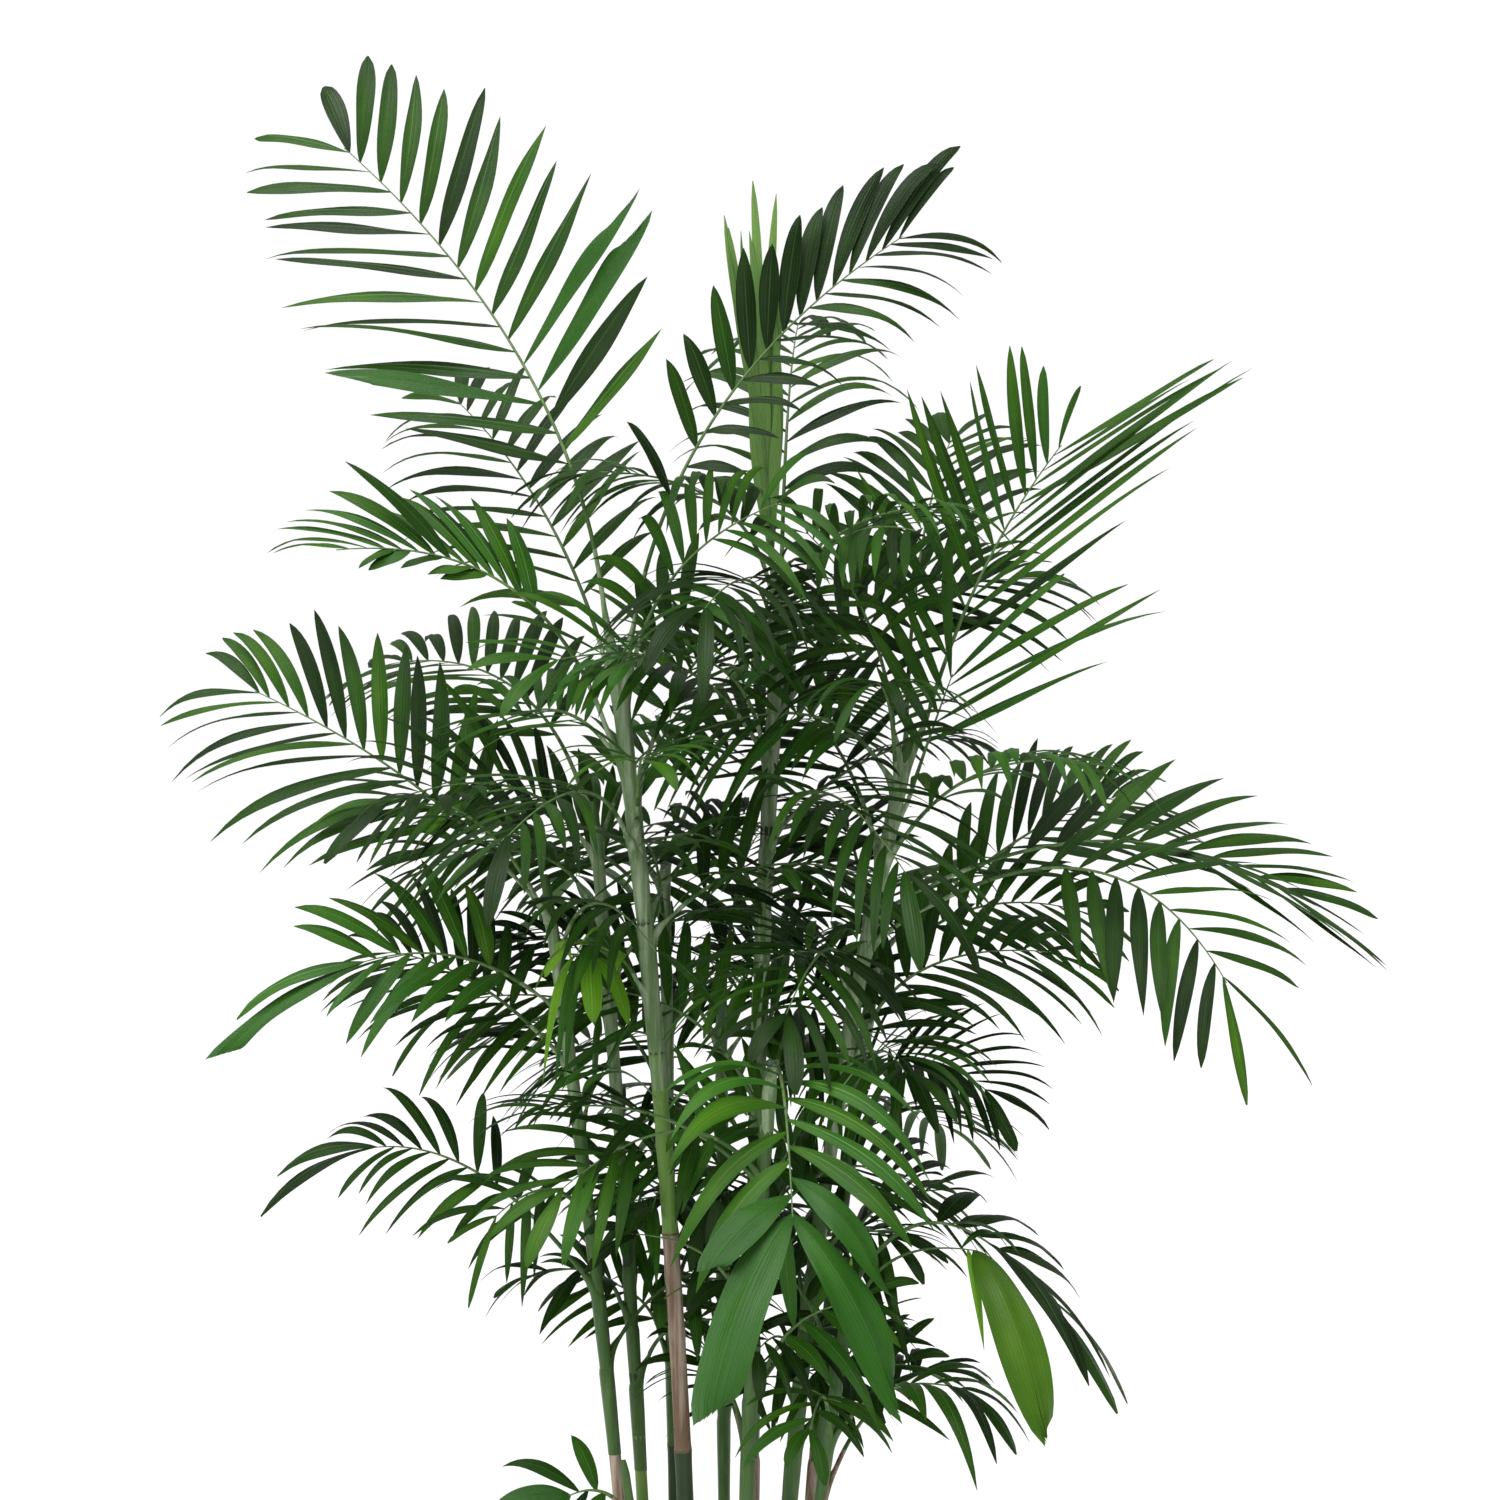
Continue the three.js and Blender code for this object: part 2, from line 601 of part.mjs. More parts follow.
  skin(leaflets) {
    const skin = new Skin();
    const sections = [this.footSection()];
    for (let i = 1; i < petioleSteps; i += 1) {
      sections.push(this.ribSection((this.petiole * i) / petioleSteps));
    }
    for (let i = 0; i < 2 * this.pairs; i += 1) {
      sections.push(this.ribSection(this.joint(i)));
    }
    const rings = sections.map(({ left, right, low }) => ({
      left: skin.point(left),
      right: skin.point(right),
      low: skin.point(low),
    }));
    const ends = [rings[0], rings[rings.length - 1]];
    skin.face(ends[0].left, ends[0].low, ends[0].right);
    skin.face(ends[1].right, ends[1].low, ends[1].left);
    for (let i = 0; i + 1 < rings.length; i += 1) {
      const here = rings[i];
      const next = rings[i + 1];
      skin.quad(here.left, here.right, next.right, next.left);
      for (const isRight of [false, true]) {
        const grown = leaflets.find((one) => one.isRight === isRight && one.first === i - petioleSteps);
        const edge = isRight ? 'right' : 'left';
        const corners = [here.low, here[edge], next[edge], next.low];
        if (grown) {
          this.addLeaflet(skin, corners, grown);
        } else if (isRight) {
          skin.quad(corners[1], corners[0], corners[3], corners[2]);
        } else {
          skin.quad(...corners);
        }
      }
    }
    return skin.geometry();
  }

  // A leaflet grows out of the four corners of the rib's side face to a three-cornered ring and on to its tip
  addLeaflet(skin, [nearLow, nearTop, farTop, farLow], { near, far, ridge, tip, isRight }) {
    const a = skin.point(near);
    const b = skin.point(far);
    const r = skin.point(ridge);
    const end = skin.point(tip);
    const faces = [
      [nearTop, nearLow, a], [nearTop, a, r],
      [nearLow, farLow, b], [nearLow, b, a],
      [farLow, farTop, b], [farTop, r, b],
      [farTop, nearTop, r],
      [r, a, end], [a, b, end], [b, r, end],
    ];
    faces.forEach((corners) => skin.face(...corners, !isRight));
  }
}

add('pot', buildPot(), colours.pot, 0.55);
add('soil', buildSoil(), colours.soil, 0.95);

const standing = Object.entries(canes).map(([name, sizes]) => [name, new Cane(sizes)]);
standing.forEach(([name, cane]) => add(`cane_${name}`, cane.build(), colours.cane, 0.5));

const grown = standing.flatMap(([name, cane], caneNumber) => fronds[name].map((given, i) => ({
  name: `frond_${name}_${i + 1}`,
  frond: new Frond(cane, given, caneNumber * 10 + i),
})));

// Leaflets keep clear of canes and ribs, but not of their own frond's rib, which they grow from
const caneBoxes = standing.flatMap(([, cane]) => cane.boxes());
const leafletBoxes = [];
grown.forEach(({ name, frond }) => {
  const ribs = grown.filter((other) => other.frond !== frond).flatMap((other) => other.frond.ribBoxes());
  const fixed = caneBoxes.concat(ribs);
  const taken = fixed.concat(leafletBoxes);
  const before = taken.length;
  const geometry = frond.build(taken);
  leafletBoxes.push(...taken.slice(before));
  add(name, geometry, frond.young ? colours.youngFrond : colours.frond, 0.45);
});

export default plant;
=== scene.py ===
"""A bamboo palm in a plain round pot.

Slender ringed canes rise from dark potting mix. Each carries feather-shaped fronds: a sheath round the cane,
a petiole that runs on as a rib, and narrow leaflets along both of its sides. Metres, +Z up. The origin is
under the middle of the pot, and the front faces -Y. Angles are in degrees: an azimuth of 0 points to +X and
90 to +Y, which is the back of the plant.
"""

import logging
import math
from collections.abc import Iterable, Sequence
from dataclasses import dataclass, field, fields, replace
from enum import IntEnum

import bpy
import numpy as np
from bpy.types import ID, Material, Mesh, Node, NodeSocket, NodeTree, Object
from mathutils import Euler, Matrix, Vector


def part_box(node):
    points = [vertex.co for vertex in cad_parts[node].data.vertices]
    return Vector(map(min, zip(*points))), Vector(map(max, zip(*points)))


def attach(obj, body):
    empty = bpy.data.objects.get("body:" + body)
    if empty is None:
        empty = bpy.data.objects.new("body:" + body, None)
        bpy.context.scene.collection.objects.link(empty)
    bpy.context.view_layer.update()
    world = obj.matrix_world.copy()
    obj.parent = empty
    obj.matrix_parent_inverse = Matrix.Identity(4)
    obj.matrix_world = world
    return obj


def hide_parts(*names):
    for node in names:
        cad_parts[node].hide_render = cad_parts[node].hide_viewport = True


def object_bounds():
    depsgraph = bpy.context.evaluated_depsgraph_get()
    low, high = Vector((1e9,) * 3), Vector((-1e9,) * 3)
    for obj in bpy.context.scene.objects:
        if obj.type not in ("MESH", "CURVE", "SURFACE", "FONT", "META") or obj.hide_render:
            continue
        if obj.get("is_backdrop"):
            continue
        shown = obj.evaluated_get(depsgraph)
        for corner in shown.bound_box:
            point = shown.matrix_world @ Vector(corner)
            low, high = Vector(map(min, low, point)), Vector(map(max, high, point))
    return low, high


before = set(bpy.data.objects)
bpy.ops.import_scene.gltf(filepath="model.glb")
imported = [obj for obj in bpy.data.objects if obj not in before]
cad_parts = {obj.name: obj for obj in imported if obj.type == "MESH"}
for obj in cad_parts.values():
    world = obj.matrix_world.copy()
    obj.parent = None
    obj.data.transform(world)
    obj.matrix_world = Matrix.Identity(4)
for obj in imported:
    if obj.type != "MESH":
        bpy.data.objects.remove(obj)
CAD_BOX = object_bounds()

BODY = "root"
UP = np.array((0.0, 0.0, 1.0))
GROWN = "grow_"
NOBODY = -1
log = logging.getLogger("palm")

Colour = tuple[float, float, float, float]
Array = np.ndarray
Pair = tuple[float, float]
Triple = tuple[float, float, float]


def tint(red: int, green: int, blue: int) -> Colour:
    """Returns the linear colour of an ordinary screen colour from 0 to 255."""
    parts = (part / 255 for part in (red, green, blue))
    return (*(part / 12.92 if part <= 0.04045 else ((part + 0.055) / 1.055) ** 2.4 for part in parts), 1.0)


def mix(first: float, last: float, share: float) -> float:
    """Returns the value that lies share of the way from first to last."""
    return first + (last - first) * share


def ease(share: float) -> float:
    """Returns a smooth step from 0 to 1."""
    share = min(1.0, max(0.0, share))
    return share * share * (3 - 2 * share)


def unit(way: Array) -> Array:
    """Returns the direction of a vector, with length 1."""
    return way / np.linalg.norm(way)


def heading(azimuth: float, elevation: float) -> Array:
    """Returns the direction that points to an azimuth at an elevation."""
    turn, climb = math.radians(azimuth), math.radians(elevation)
    return np.array((math.cos(climb) * math.cos(turn), math.cos(climb) * math.sin(turn), math.sin(climb)))


def wander(seed: float) -> float:
    """Returns a repeatable number from -1 to 1 for each seed."""
    wave = math.sin(seed * 12.9898 + 4.1) * 43758.5453
    return 2 * (wave - math.floor(wave)) - 1


# Node trees


@dataclass(frozen=True)
class Wire:
    """What flows out of one socket of a node tree, with the arithmetic of a number or a vector."""

    socket: NodeSocket

    @property
    def is_vector(self) -> bool:
        """Tells a vector from a number."""
        return self.socket.type == "VECTOR"

    def do(self, operation: str, *others: "Wire | float") -> "Wire":
        """Returns the result of a Math node, or of a Vector Math node where this value is a vector.

        Args:
            operation: The node's operation.
            others: What its further inputs take.

        Returns:
            The node's output.
        """
        node = self.socket.id_data.nodes.new("ShaderNodeVectorMath" if self.is_vector else "ShaderNodeMath")
        node.operation = operation
        for plug, value in zip([plug for plug in node.inputs if plug.enabled], (self, *others)):
            feed(plug, value)
        return Wire(node.outputs[0])

    def __add__(self, other: "Wire | float") -> "Wire":
        """Adds two numbers or two vectors."""
        return self.do("ADD", other)

    def __sub__(self, other: "Wire | float") -> "Wire":
        """Subtracts two numbers or two vectors."""
        return self.do("SUBTRACT", other)

    def __mul__(self, other: "Wire | float") -> "Wire":
        """Multiplies two numbers, or a vector by a number."""
        return self.do("SCALE" if self.is_vector else "MULTIPLY", other)

    def __pow__(self, other: "Wire | float") -> "Wire":
        """Raises a number to a power."""
        return self.do("POWER", other)


def feed(plug: NodeSocket, value: object) -> None:
    """Links a wire to an input, or sets the input to a plain value.

    Args:
        plug: The input.
        value: The wire or the value.
    """
    if isinstance(value, Wire):
        plug.id_data.links.new(value.socket, plug)
    else:
        plug.default_value = value


def plug_named(plugs: Iterable[NodeSocket], name: str | None) -> NodeSocket:
    """Returns the live socket of that name, or the first live one where the name is None."""
    return next(plug for plug in plugs if plug.enabled and name in (None, plug.name))


@dataclass(frozen=True)
class Bench:
    """Places nodes in one tree."""

    tree: NodeTree

    def end(self, outputs: dict[str, Wire]) -> NodeTree:
        """Joins wires to a group's outputs and returns the tree."""
        self.place("NodeGroupOutput", outputs)
        return self.tree

    def place(self, kind: str, inputs: dict[str, object] | None = None, **settings: object) -> Node:
        """Adds a node.

        Args:
            kind: The node's type name.
            inputs: What its inputs take, by socket name.
            settings: The node's own properties.

        Returns:
            The new node.
        """
        node = self.tree.nodes.new(kind)
        for name, value in settings.items():
            setattr(node, name, value)
        for name, value in (inputs or {}).items():
            feed(plug_named(node.inputs, name), value)
        return node

    def wire(self, kind: str, inputs: dict[str, object] | None = None, output: str | None = None,
             **settings: object) -> Wire:
        """Adds a node and returns its output of that name, or its first one."""
        return Wire(plug_named(self.place(kind, inputs, **settings).outputs, output))

    def group(self, tree: NodeTree, inputs: dict[str, object]) -> dict[str, Wire]:
        """Places a shared group.

        Args:
            tree: The group.
            inputs: What its inputs take, by name.

        Returns:
            Its outputs by name.
        """
        node = self.place("ShaderNodeGroup", node_tree=tree)
        for name, value in inputs.items():
            feed(node.inputs[name], value)
        return {plug.name: Wire(plug) for plug in node.outputs}

    def remap(self, value: Wire, low: Wire | float, high: Wire | float, top: float = 1.0) -> Wire:
        """Returns a value that runs from 0 to top while the given one runs from low to high."""
        return self.wire("ShaderNodeMapRange", {
            "Value": value, "From Min": low, "From Max": high, "To Min": 0.0, "To Max": top})

    def noise(self, place: Wire, scale: Wire, detail: float, roughness: float = 0.5) -> Wire:
        """Returns a cloudy pattern from 0 to 1."""
        return self.wire("ShaderNodeTexNoise", {
            "Vector": place, "Scale": scale, "Detail": detail, "Roughness": roughness})

    def blend(self, share: Wire | float, first: object, second: object, mode: str = "MIX") -> Wire:
        """Mixes two colours.

        Args:
            share: How much of the second shows.
            first: The first colour.
            second: The second colour.
            mode: The blend mode.

        Returns:
            The mixed colour.
        """
        node = self.place("ShaderNodeMix", data_type="RGBA", blend_type=mode)
        colours = [plug for plug in node.inputs if plug.type == "RGBA"]
        for plug, value in zip((node.inputs["Factor"], *colours), (share, first, second)):
            feed(plug, value)
        return Wire(next(plug for plug in node.outputs if plug.type == "RGBA"))

    def read(self, name: str, kind: str = "FLOAT") -> Wire:
        """Reads what the growing mesh carries under a name; kind is its data type."""
        return self.wire("GeometryNodeInputNamedAttribute", {"Name": GROWN + name}, data_type=kind)

    def step(self, kind: str, mesh: Wire, inputs: dict[str, object] | None = None,
             **settings: object) -> Wire:
        """Sends a mesh through a Geometry node and returns what comes out."""
        return self.wire("GeometryNode" + kind, {"Geometry": mesh} | (inputs or {}), **settings)

    def paint(self, mesh: Wire, tone: Wire, materials: dict[IntEnum, Material]) -> Wire:
        """Gives each face the material of the tone that all of its points have.

        Args:
            mesh: The mesh.
            tone: The tone of each point.
            materials: The material of each tone.

        Returns:
            The mesh with its materials.
        """
        for step, material in materials.items():
            same = self.wire(
                "FunctionNodeCompare", {"A": tone, "B": int(step)}, data_type="INT", operation="EQUAL")
            whole = self.wire(
                "GeometryNodeFieldOnDomain", {"Value": same}, data_type="BOOLEAN", domain="POINT")
            mesh = self.step("SetMaterial", mesh, {"Selection": whole, "Material": material})
        return mesh


def start_tree(name: str, kind: str, inputs: dict[str, str],
               outputs: dict[str, str]) -> tuple[Bench, dict[str, Wire]]:
    """Makes an empty node group.

    Args:
        name: The group's name.
        kind: Shader or Geometry.
        inputs: The kind of each input's socket, by its name.
        outputs: The kind of each output's socket, by its name.

    Returns:
        A bench on the tree, and its inputs by name.
    """
    tree = bpy.data.node_groups.new(name, kind + "NodeTree")
    for way, sockets in (("INPUT", inputs), ("OUTPUT", outputs)):
        for label, socket in sockets.items():
            tree.interface.new_socket(name=label, in_out=way, socket_type="NodeSocket" + socket)
    bench = Bench(tree)
    entry = bench.place("NodeGroupInput")
    return bench, {label: Wire(entry.outputs[label]) for label in inputs}


def floats(*names: str) -> dict[str, str]:
    """Returns the names with the kind of a plain number, for start_tree."""
    return dict.fromkeys(names, "Float")


# Finishes


@dataclass
class ShaderKit:
    """The shader effects that several finishes share, each a node group that is built once."""

    finer_clouds: float = 14.0
    midrib_core: float = 0.35
    vein_power: float = 6.0
    lines_in_vein: float = 4.0
    vein_height: float = 0.6
    line_height: float = 0.25
    finer_fibres: float = 4.0

    def __post_init__(self) -> None:
        """Builds the groups."""
        self.mottle = self.mottle_group()
        self.veins = self.vein_group()
        self.streaks = self.streak_group()

    def mottle_group(self) -> NodeTree:
        """Builds soft cloudy variation: a value round 1 and a fine height.

        Returns:
            The group.
        """
        bench, given = start_tree("soft mottling", "Shader", floats("Scale", "Amount"),
                                  floats("Value", "Height"))
        place = bench.wire("ShaderNodeTexCoord", output="Object")
        cloud = bench.noise(place, given["Scale"], detail=4.0)
        fine = bench.noise(place, given["Scale"] * self.finer_clouds, detail=3.0)
        value = (cloud - 0.5) * given["Amount"] * 2.0 + 1.0
        return bench.end({"Value": value, "Height": fine})

    def vein_group(self) -> NodeTree:
        """Builds a leaflet's midrib and lengthwise veins from its own UV map.

        Returns:
            The group.
        """
        bench, given = start_tree("leaflet veins", "Shader", floats("Count", "Midrib Width"),
                                  floats("Midrib", "Veins", "Middle", "Height"))
        spot = bench.wire("ShaderNodeUVMap", uv_map="UVMap")
        across = bench.wire("ShaderNodeSeparateXYZ", {"Vector": spot}, "X")
        off_middle = (across - 0.5).do("ABSOLUTE") * 2.0
        midrib = bench.remap(off_middle, given["Midrib Width"], given["Midrib Width"] * self.midrib_core)

        def waves(lines: float) -> Wire:
            """Returns a wave from 0 to 1 with so many crests for each vein."""
            return (off_middle * given["Count"] * (math.tau * lines)).do("COSINE") * 0.5 + 0.5

        veins = waves(1.0) ** self.vein_power
        height = veins * self.vein_height + waves(self.lines_in_vein) * self.line_height + midrib
        middle = off_middle * off_middle * -1.0 + 1.0
        return bench.end({"Midrib": midrib, "Veins": veins, "Middle": middle, "Height": height})

    def streak_group(self) -> NodeTree:
        """Builds lengthwise fibres on an upright stem from object coordinates.

        Returns:
            The group.
        """
        bench, given = start_tree("lengthwise fibres", "Shader", floats("Fineness", "Stretch"),
                                  floats("Value", "Height"))
        place = bench.wire("ShaderNodeTexCoord", output="Object")
        parts = bench.place("ShaderNodeSeparateXYZ", {"Vector": place}).outputs
        drawn = bench.wire("ShaderNodeCombineXYZ", {
            "X": Wire(parts["X"]), "Y": Wire(parts["Y"]), "Z": Wire(parts["Z"]) * given["Stretch"]})
        broad = bench.noise(drawn, given["Fineness"], detail=5.0, roughness=0.6)
        fine = bench.noise(drawn, given["Fineness"] * self.finer_fibres, detail=2.0)
        return bench.end({"Value": broad, "Height": fine})


@dataclass(frozen=True)
class Pattern:
    """What a finish feeds to its shader: its colour, a shade that multiplies it, its sheen and its relief."""

    body: Wire
    shade: Wire
    rough: Wire
    height: Wire


@dataclass(frozen=True, kw_only=True)
class Finish:
    """What every finish has: a name, a base colour, roughness, mirror strength, relief and unevenness."""

    name: str
    colour: Colour
    roughness: float
    gloss: float = 0.3
    relief: float
    unevenness: float = 0.3

    def material(self, kit: ShaderKit) -> Material:
        """Builds the material.

        Args:
            kit: The shared shader groups.

        Returns:
            The finished material.
        """
        made = bpy.data.materials.new(self.name)
        made.use_nodes = True
        made.node_tree.nodes.clear()
        bench = Bench(made.node_tree)
        shader = bench.place("ShaderNodeBsdfPrincipled", {"Specular IOR Level": self.gloss})
        bench.place("ShaderNodeOutputMaterial", {"Surface": Wire(shader.outputs["BSDF"])})
        made.diffuse_color = self.colour
        pattern = self.pattern(bench, kit)
        shade = bench.wire("ShaderNodeCombineXYZ", dict.fromkeys("XYZ", pattern.shade))
        feed(shader.inputs["Base Color"], bench.blend(1.0, pattern.body, shade, "MULTIPLY"))
        feed(shader.inputs["Roughness"], pattern.rough + self.roughness)
        feed(shader.inputs["Normal"], bench.wire(
            "ShaderNodeBump", {"Height": pattern.height, "Distance": self.relief, "Strength": 1.0}))
        return made

    def pattern(self, bench: Bench, kit: ShaderKit) -> Pattern:
        """Lays out the finish's own pattern."""
        raise NotImplementedError


@dataclass(frozen=True, kw_only=True)
class LeafFinish(Finish):
    """A satin leaf blade with a pale midrib, fine veins, a duller underside, and painted glow: brighter,
    yellower patches towards the middle, where light would shine through the blade.
    """

    underside: Colour
    midrib: Colour
    # The painted glow colour: light shining through the blade, painted into its upper side.
    warm: Colour
    relief: float = 0.00035
    unevenness: float = 0.25
    clouds: Pair = (9.0, 0.22)
    patches: Triple = (0.97, 1.09, 0.8)
    vein_count: float = 3.0
    midrib_width: float = 0.1
    midrib_share: float = 0.5
    vein_share: float = 0.18
    back_dullness: float = 0.14

    def pattern(self, bench: Bench, kit: ShaderKit) -> Pattern:
        """Lays out the painted glow patches, underside, veins and midrib.

        Args:
            bench: The material's bench.
            kit: The shared shader groups.

        Returns:
            What goes to the shader.
        """
        scale, amount = self.clouds
        cloud = bench.group(kit.mottle, {"Scale": scale, "Amount": amount})
        veins = bench.group(kit.veins, {"Count": self.vein_count, "Midrib Width": self.midrib_width})
        back = bench.wire("ShaderNodeNewGeometry", output="Backfacing")
        glow_patch = bench.remap(cloud["Value"], *self.patches)
        # Painted light: cloudy patches near the blade's middle take the brighter, yellower glow colour, as if
        # light shone through the leaf.
        upper = bench.blend(glow_patch * veins["Middle"], self.colour, self.warm)
        blade = bench.blend(back, upper, self.underside)
        lined = bench.blend(veins["Veins"] * self.vein_share, blade, self.midrib)
        ribbed = bench.blend(veins["Midrib"] * self.midrib_share, lined, self.midrib)
        rough = (cloud["Height"] - 0.5) * self.unevenness + back * self.back_dullness
        return Pattern(ribbed, cloud["Value"], rough, veins["Height"])


@dataclass(frozen=True, kw_only=True)
class StemFinish(Finish):
    """A smooth or fibrous stem with lengthwise streaks of a second colour."""

    streak: Colour
    share: float = 0.5
    relief: float = 0.0002
    fineness: float = 160.0
    stretch: float = 0.06
    clouds: Pair = (30.0, 0.22)
    limits: Pair = (0.42, 0.66)
    cloud_relief: float = 0.4

    def pattern(self, bench: Bench, kit: ShaderKit) -> Pattern:
        """Lays out the fibres.

        Args:
            bench: The material's bench.
            kit: The shared shader groups.

        Returns:
            What goes to the shader.
        """
        fibres = bench.group(kit.streaks, {"Fineness": self.fineness, "Stretch": self.stretch})
        scale, amount = self.clouds
        cloud = bench.group(kit.mottle, {"Scale": scale, "Amount": amount})
        streaked = bench.remap(fibres["Value"], *self.limits, self.share)
        return Pattern(bench.blend(streaked, self.colour, self.streak), cloud["Value"],
                       (fibres["Value"] - 0.5) * self.unevenness,
                       fibres["Height"] + cloud["Height"] * self.cloud_relief)


@dataclass(frozen=True, kw_only=True)
class GrainFinish(Finish):
    """A grainy solid, such as moulded plastic, potting mix or bark."""

    second: Colour
    share: float
    scale: float
    clouding: float = 0.3
    limits: Pair = (0.45, 0.65)

    def pattern(self, bench: Bench, kit: ShaderKit) -> Pattern:
        """Lays out the grain.

        Args:
            bench: The material's bench.
            kit: The shared shader groups.

        Returns:
            What goes to the shader.
        """
        cloud = bench.group(kit.mottle, {"Scale": self.scale, "Amount": self.clouding})
        spots = bench.remap(cloud["Height"], *self.limits, self.share)
        return Pattern(bench.blend(spots, self.colour, self.second), cloud["Value"],
                       (cloud["Height"] - 0.5) * self.unevenness, cloud["Height"])


class LeafTone(IntEnum):
    """The leaf colours, from shaded old blades to young ones."""

    DARK, DEEP, MID, FRESH, LIME, SPEAR, BROAD, BROAD_LIGHT, BROAD_DARK = range(9)


class StemTone(IntEnum):
    """The colours along canes, sheaths and ribs."""

    WAXY, GREEN, YELLOW, OLIVE, DRY, SHEATH, PETIOLE, RIB = range(8)


def make(kind: type[Finish], name: str, roughness: float, *tints: tuple[int, int, int],
         **sizes: float) -> Finish:
    """Makes a finish from the screen colours of its parts, in the order of its colour fields."""
    parts = (part.name for part in fields(kind) if part.type is Colour)
    return kind(name=name, roughness=roughness, **dict(zip(parts, (tint(*one) for one in tints))), **sizes)


BROAD_VEINS = {"vein_count": 7.0, "midrib_width": 0.035, "midrib_share": 0.35}

# Each row gives the top side, the underside, the midrib, and last the painted glow: light that would shine
# through the blade.
LEAF_FINISHES = {tone: make(LeafFinish, "leaf " + tone.name.lower().replace("_", " "), *row, **sizes)
                 for tone, sizes, *row in (
    (LeafTone.DARK, {"gloss": 0.2}, 0.38, (23, 47, 9), (40, 66, 27), (52, 88, 30), (36, 70, 10)),
    (LeafTone.DEEP, {"gloss": 0.22}, 0.36, (32, 69, 10), (52, 86, 34), (68, 108, 38), (54, 94, 14)),
    (LeafTone.MID, {"gloss": 0.22}, 0.36, (44, 90, 12), (64, 104, 38), (86, 128, 46), (74, 118, 16)),
    (LeafTone.FRESH, {"gloss": 0.25}, 0.36, (48, 98, 24), (68, 114, 50), (92, 142, 66), (68, 118, 22)),
    (LeafTone.LIME, {"gloss": 0.2}, 0.38, (112, 174, 40), (122, 172, 62), (148, 192, 84), (132, 182, 46)),
    (LeafTone.SPEAR, {"gloss": 0.14}, 0.5, (116, 160, 82), (134, 170, 100), (170, 196, 136), (134, 170, 80)),
    (LeafTone.BROAD, BROAD_VEINS, 0.3, (42, 92, 22), (60, 106, 38), (80, 130, 54), (54, 106, 18)),
    (LeafTone.BROAD_LIGHT, {"gloss": 0.25} | BROAD_VEINS,
     0.34, (68, 112, 22), (84, 120, 42), (110, 146, 60), (96, 132, 30)),
    (LeafTone.BROAD_DARK, {"gloss": 0.2} | BROAD_VEINS | {"vein_count": 5.0, "midrib_width": 0.04},
     0.38, (24, 50, 12), (38, 64, 26), (50, 84, 30), (34, 62, 12)))}

STEM_FINISHES = {tone: make(StemFinish, *row, **sizes) for tone, sizes, *row in (
    (StemTone.WAXY, {"share": 0.7}, "cane waxy", 0.55, (84, 120, 84), (124, 156, 120)),
    (StemTone.GREEN, {}, "cane green", 0.42, (64, 96, 44), (88, 118, 58)),
    (StemTone.YELLOW, {}, "cane yellow green", 0.42, (102, 140, 60), (128, 158, 84)),
    (StemTone.OLIVE, {}, "cane dark", 0.45, (38, 60, 28), (58, 78, 38)),
    (StemTone.DRY, {"share": 0.9, "relief": 0.0008, "fineness": 110.0},
     "sheath dry", 0.75, (118, 96, 76), (188, 172, 156)),
    (StemTone.SHEATH, {"share": 0.9, "relief": 0.0003}, "sheath pale", 0.55, (104, 134, 86), (172, 186, 156)),
    (StemTone.PETIOLE, {}, "petiole green", 0.42, (62, 96, 44), (98, 128, 70)),
    (StemTone.RIB, {}, "rib pale", 0.45, (88, 120, 64), (132, 158, 108)))}

SCAR = make(StemFinish, "node scar", 0.7, (84, 78, 54), (128, 118, 92), relief=0.0004)
POT, SOIL, BARK, PERLITE = (
    make(GrainFinish, *row, share=share, scale=scale, relief=relief) for share, scale, relief, *row in (
        (0.4, 70.0, 0.00012, "pot charcoal plastic", 0.5, (46, 48, 51), (58, 60, 63)),
        (0.8, 26.0, 0.0025, "potting mix", 0.95, (42, 32, 24), (76, 58, 42)),
        (0.9, 40.0, 0.001, "bark chips", 0.9, (84, 56, 36), (50, 34, 23)),
        (0.7, 90.0, 0.0006, "white grains", 0.9, (208, 204, 194), (176, 168, 154))))
FLOOR = make(GrainFinish, "plain pale floor", 0.9, (250, 250, 250), (252, 252, 252), gloss=0.0, share=1.0,
             scale=0.6, relief=0.00002, clouding=0.01)


class Palette:
    """Builds each finish's material once and hands it out."""

    def __init__(self) -> None:
        """Starts with the shared shader groups and no material."""
        self.kit = ShaderKit()
        self.made: dict[str, Material] = {}

    def __call__(self, finish: Finish) -> Material:
        """Hands out a finish's material, built at its first use.

        Args:
            finish: The finish.

        Returns:
            Its material.
        """
        if finish.name not in self.made:
            self.made[finish.name] = finish.material(self.kit)
        return self.made[finish.name]

    def all(self, finishes: dict[IntEnum, Finish]) -> dict[IntEnum, Material]:
        """Returns the material of every tone."""
        return {tone: self(finish) for tone, finish in finishes.items()}


# Meshes


def new_mesh(name: str, places: Array, faces: Sequence[Sequence[int]] = (),
             edges: Sequence[Sequence[int]] = ()) -> Mesh:
    """Makes a mesh from points, faces or edges.

    Args:
        name: Its name.
        places: The points.
        faces: The points of each face.
        edges: The two points of each loose edge.

    Returns:
        The mesh.
    """
    mesh = bpy.data.meshes.new(name)
    mesh.from_pydata(np.asarray(places).tolist(), *([list(one) for one in many] for many in (edges, faces)))
    mesh.update()
    return mesh


def note(mesh: Mesh, name: str, kind: str, values: Iterable[object]) -> None:
    """Stores one value a point, for the trees to read.

    Args:
        mesh: The mesh that carries the points.
        name: The name that the trees read it by.
        kind: Its data type.
        values: One value for each point.
    """
    attribute = mesh.attributes.new(GROWN + name, kind, "POINT")
    key = "vector" if kind == "FLOAT_VECTOR" else "value"
    attribute.data.foreach_set(key, np.asarray(list(values), dtype=float if kind != "INT" else int).ravel())


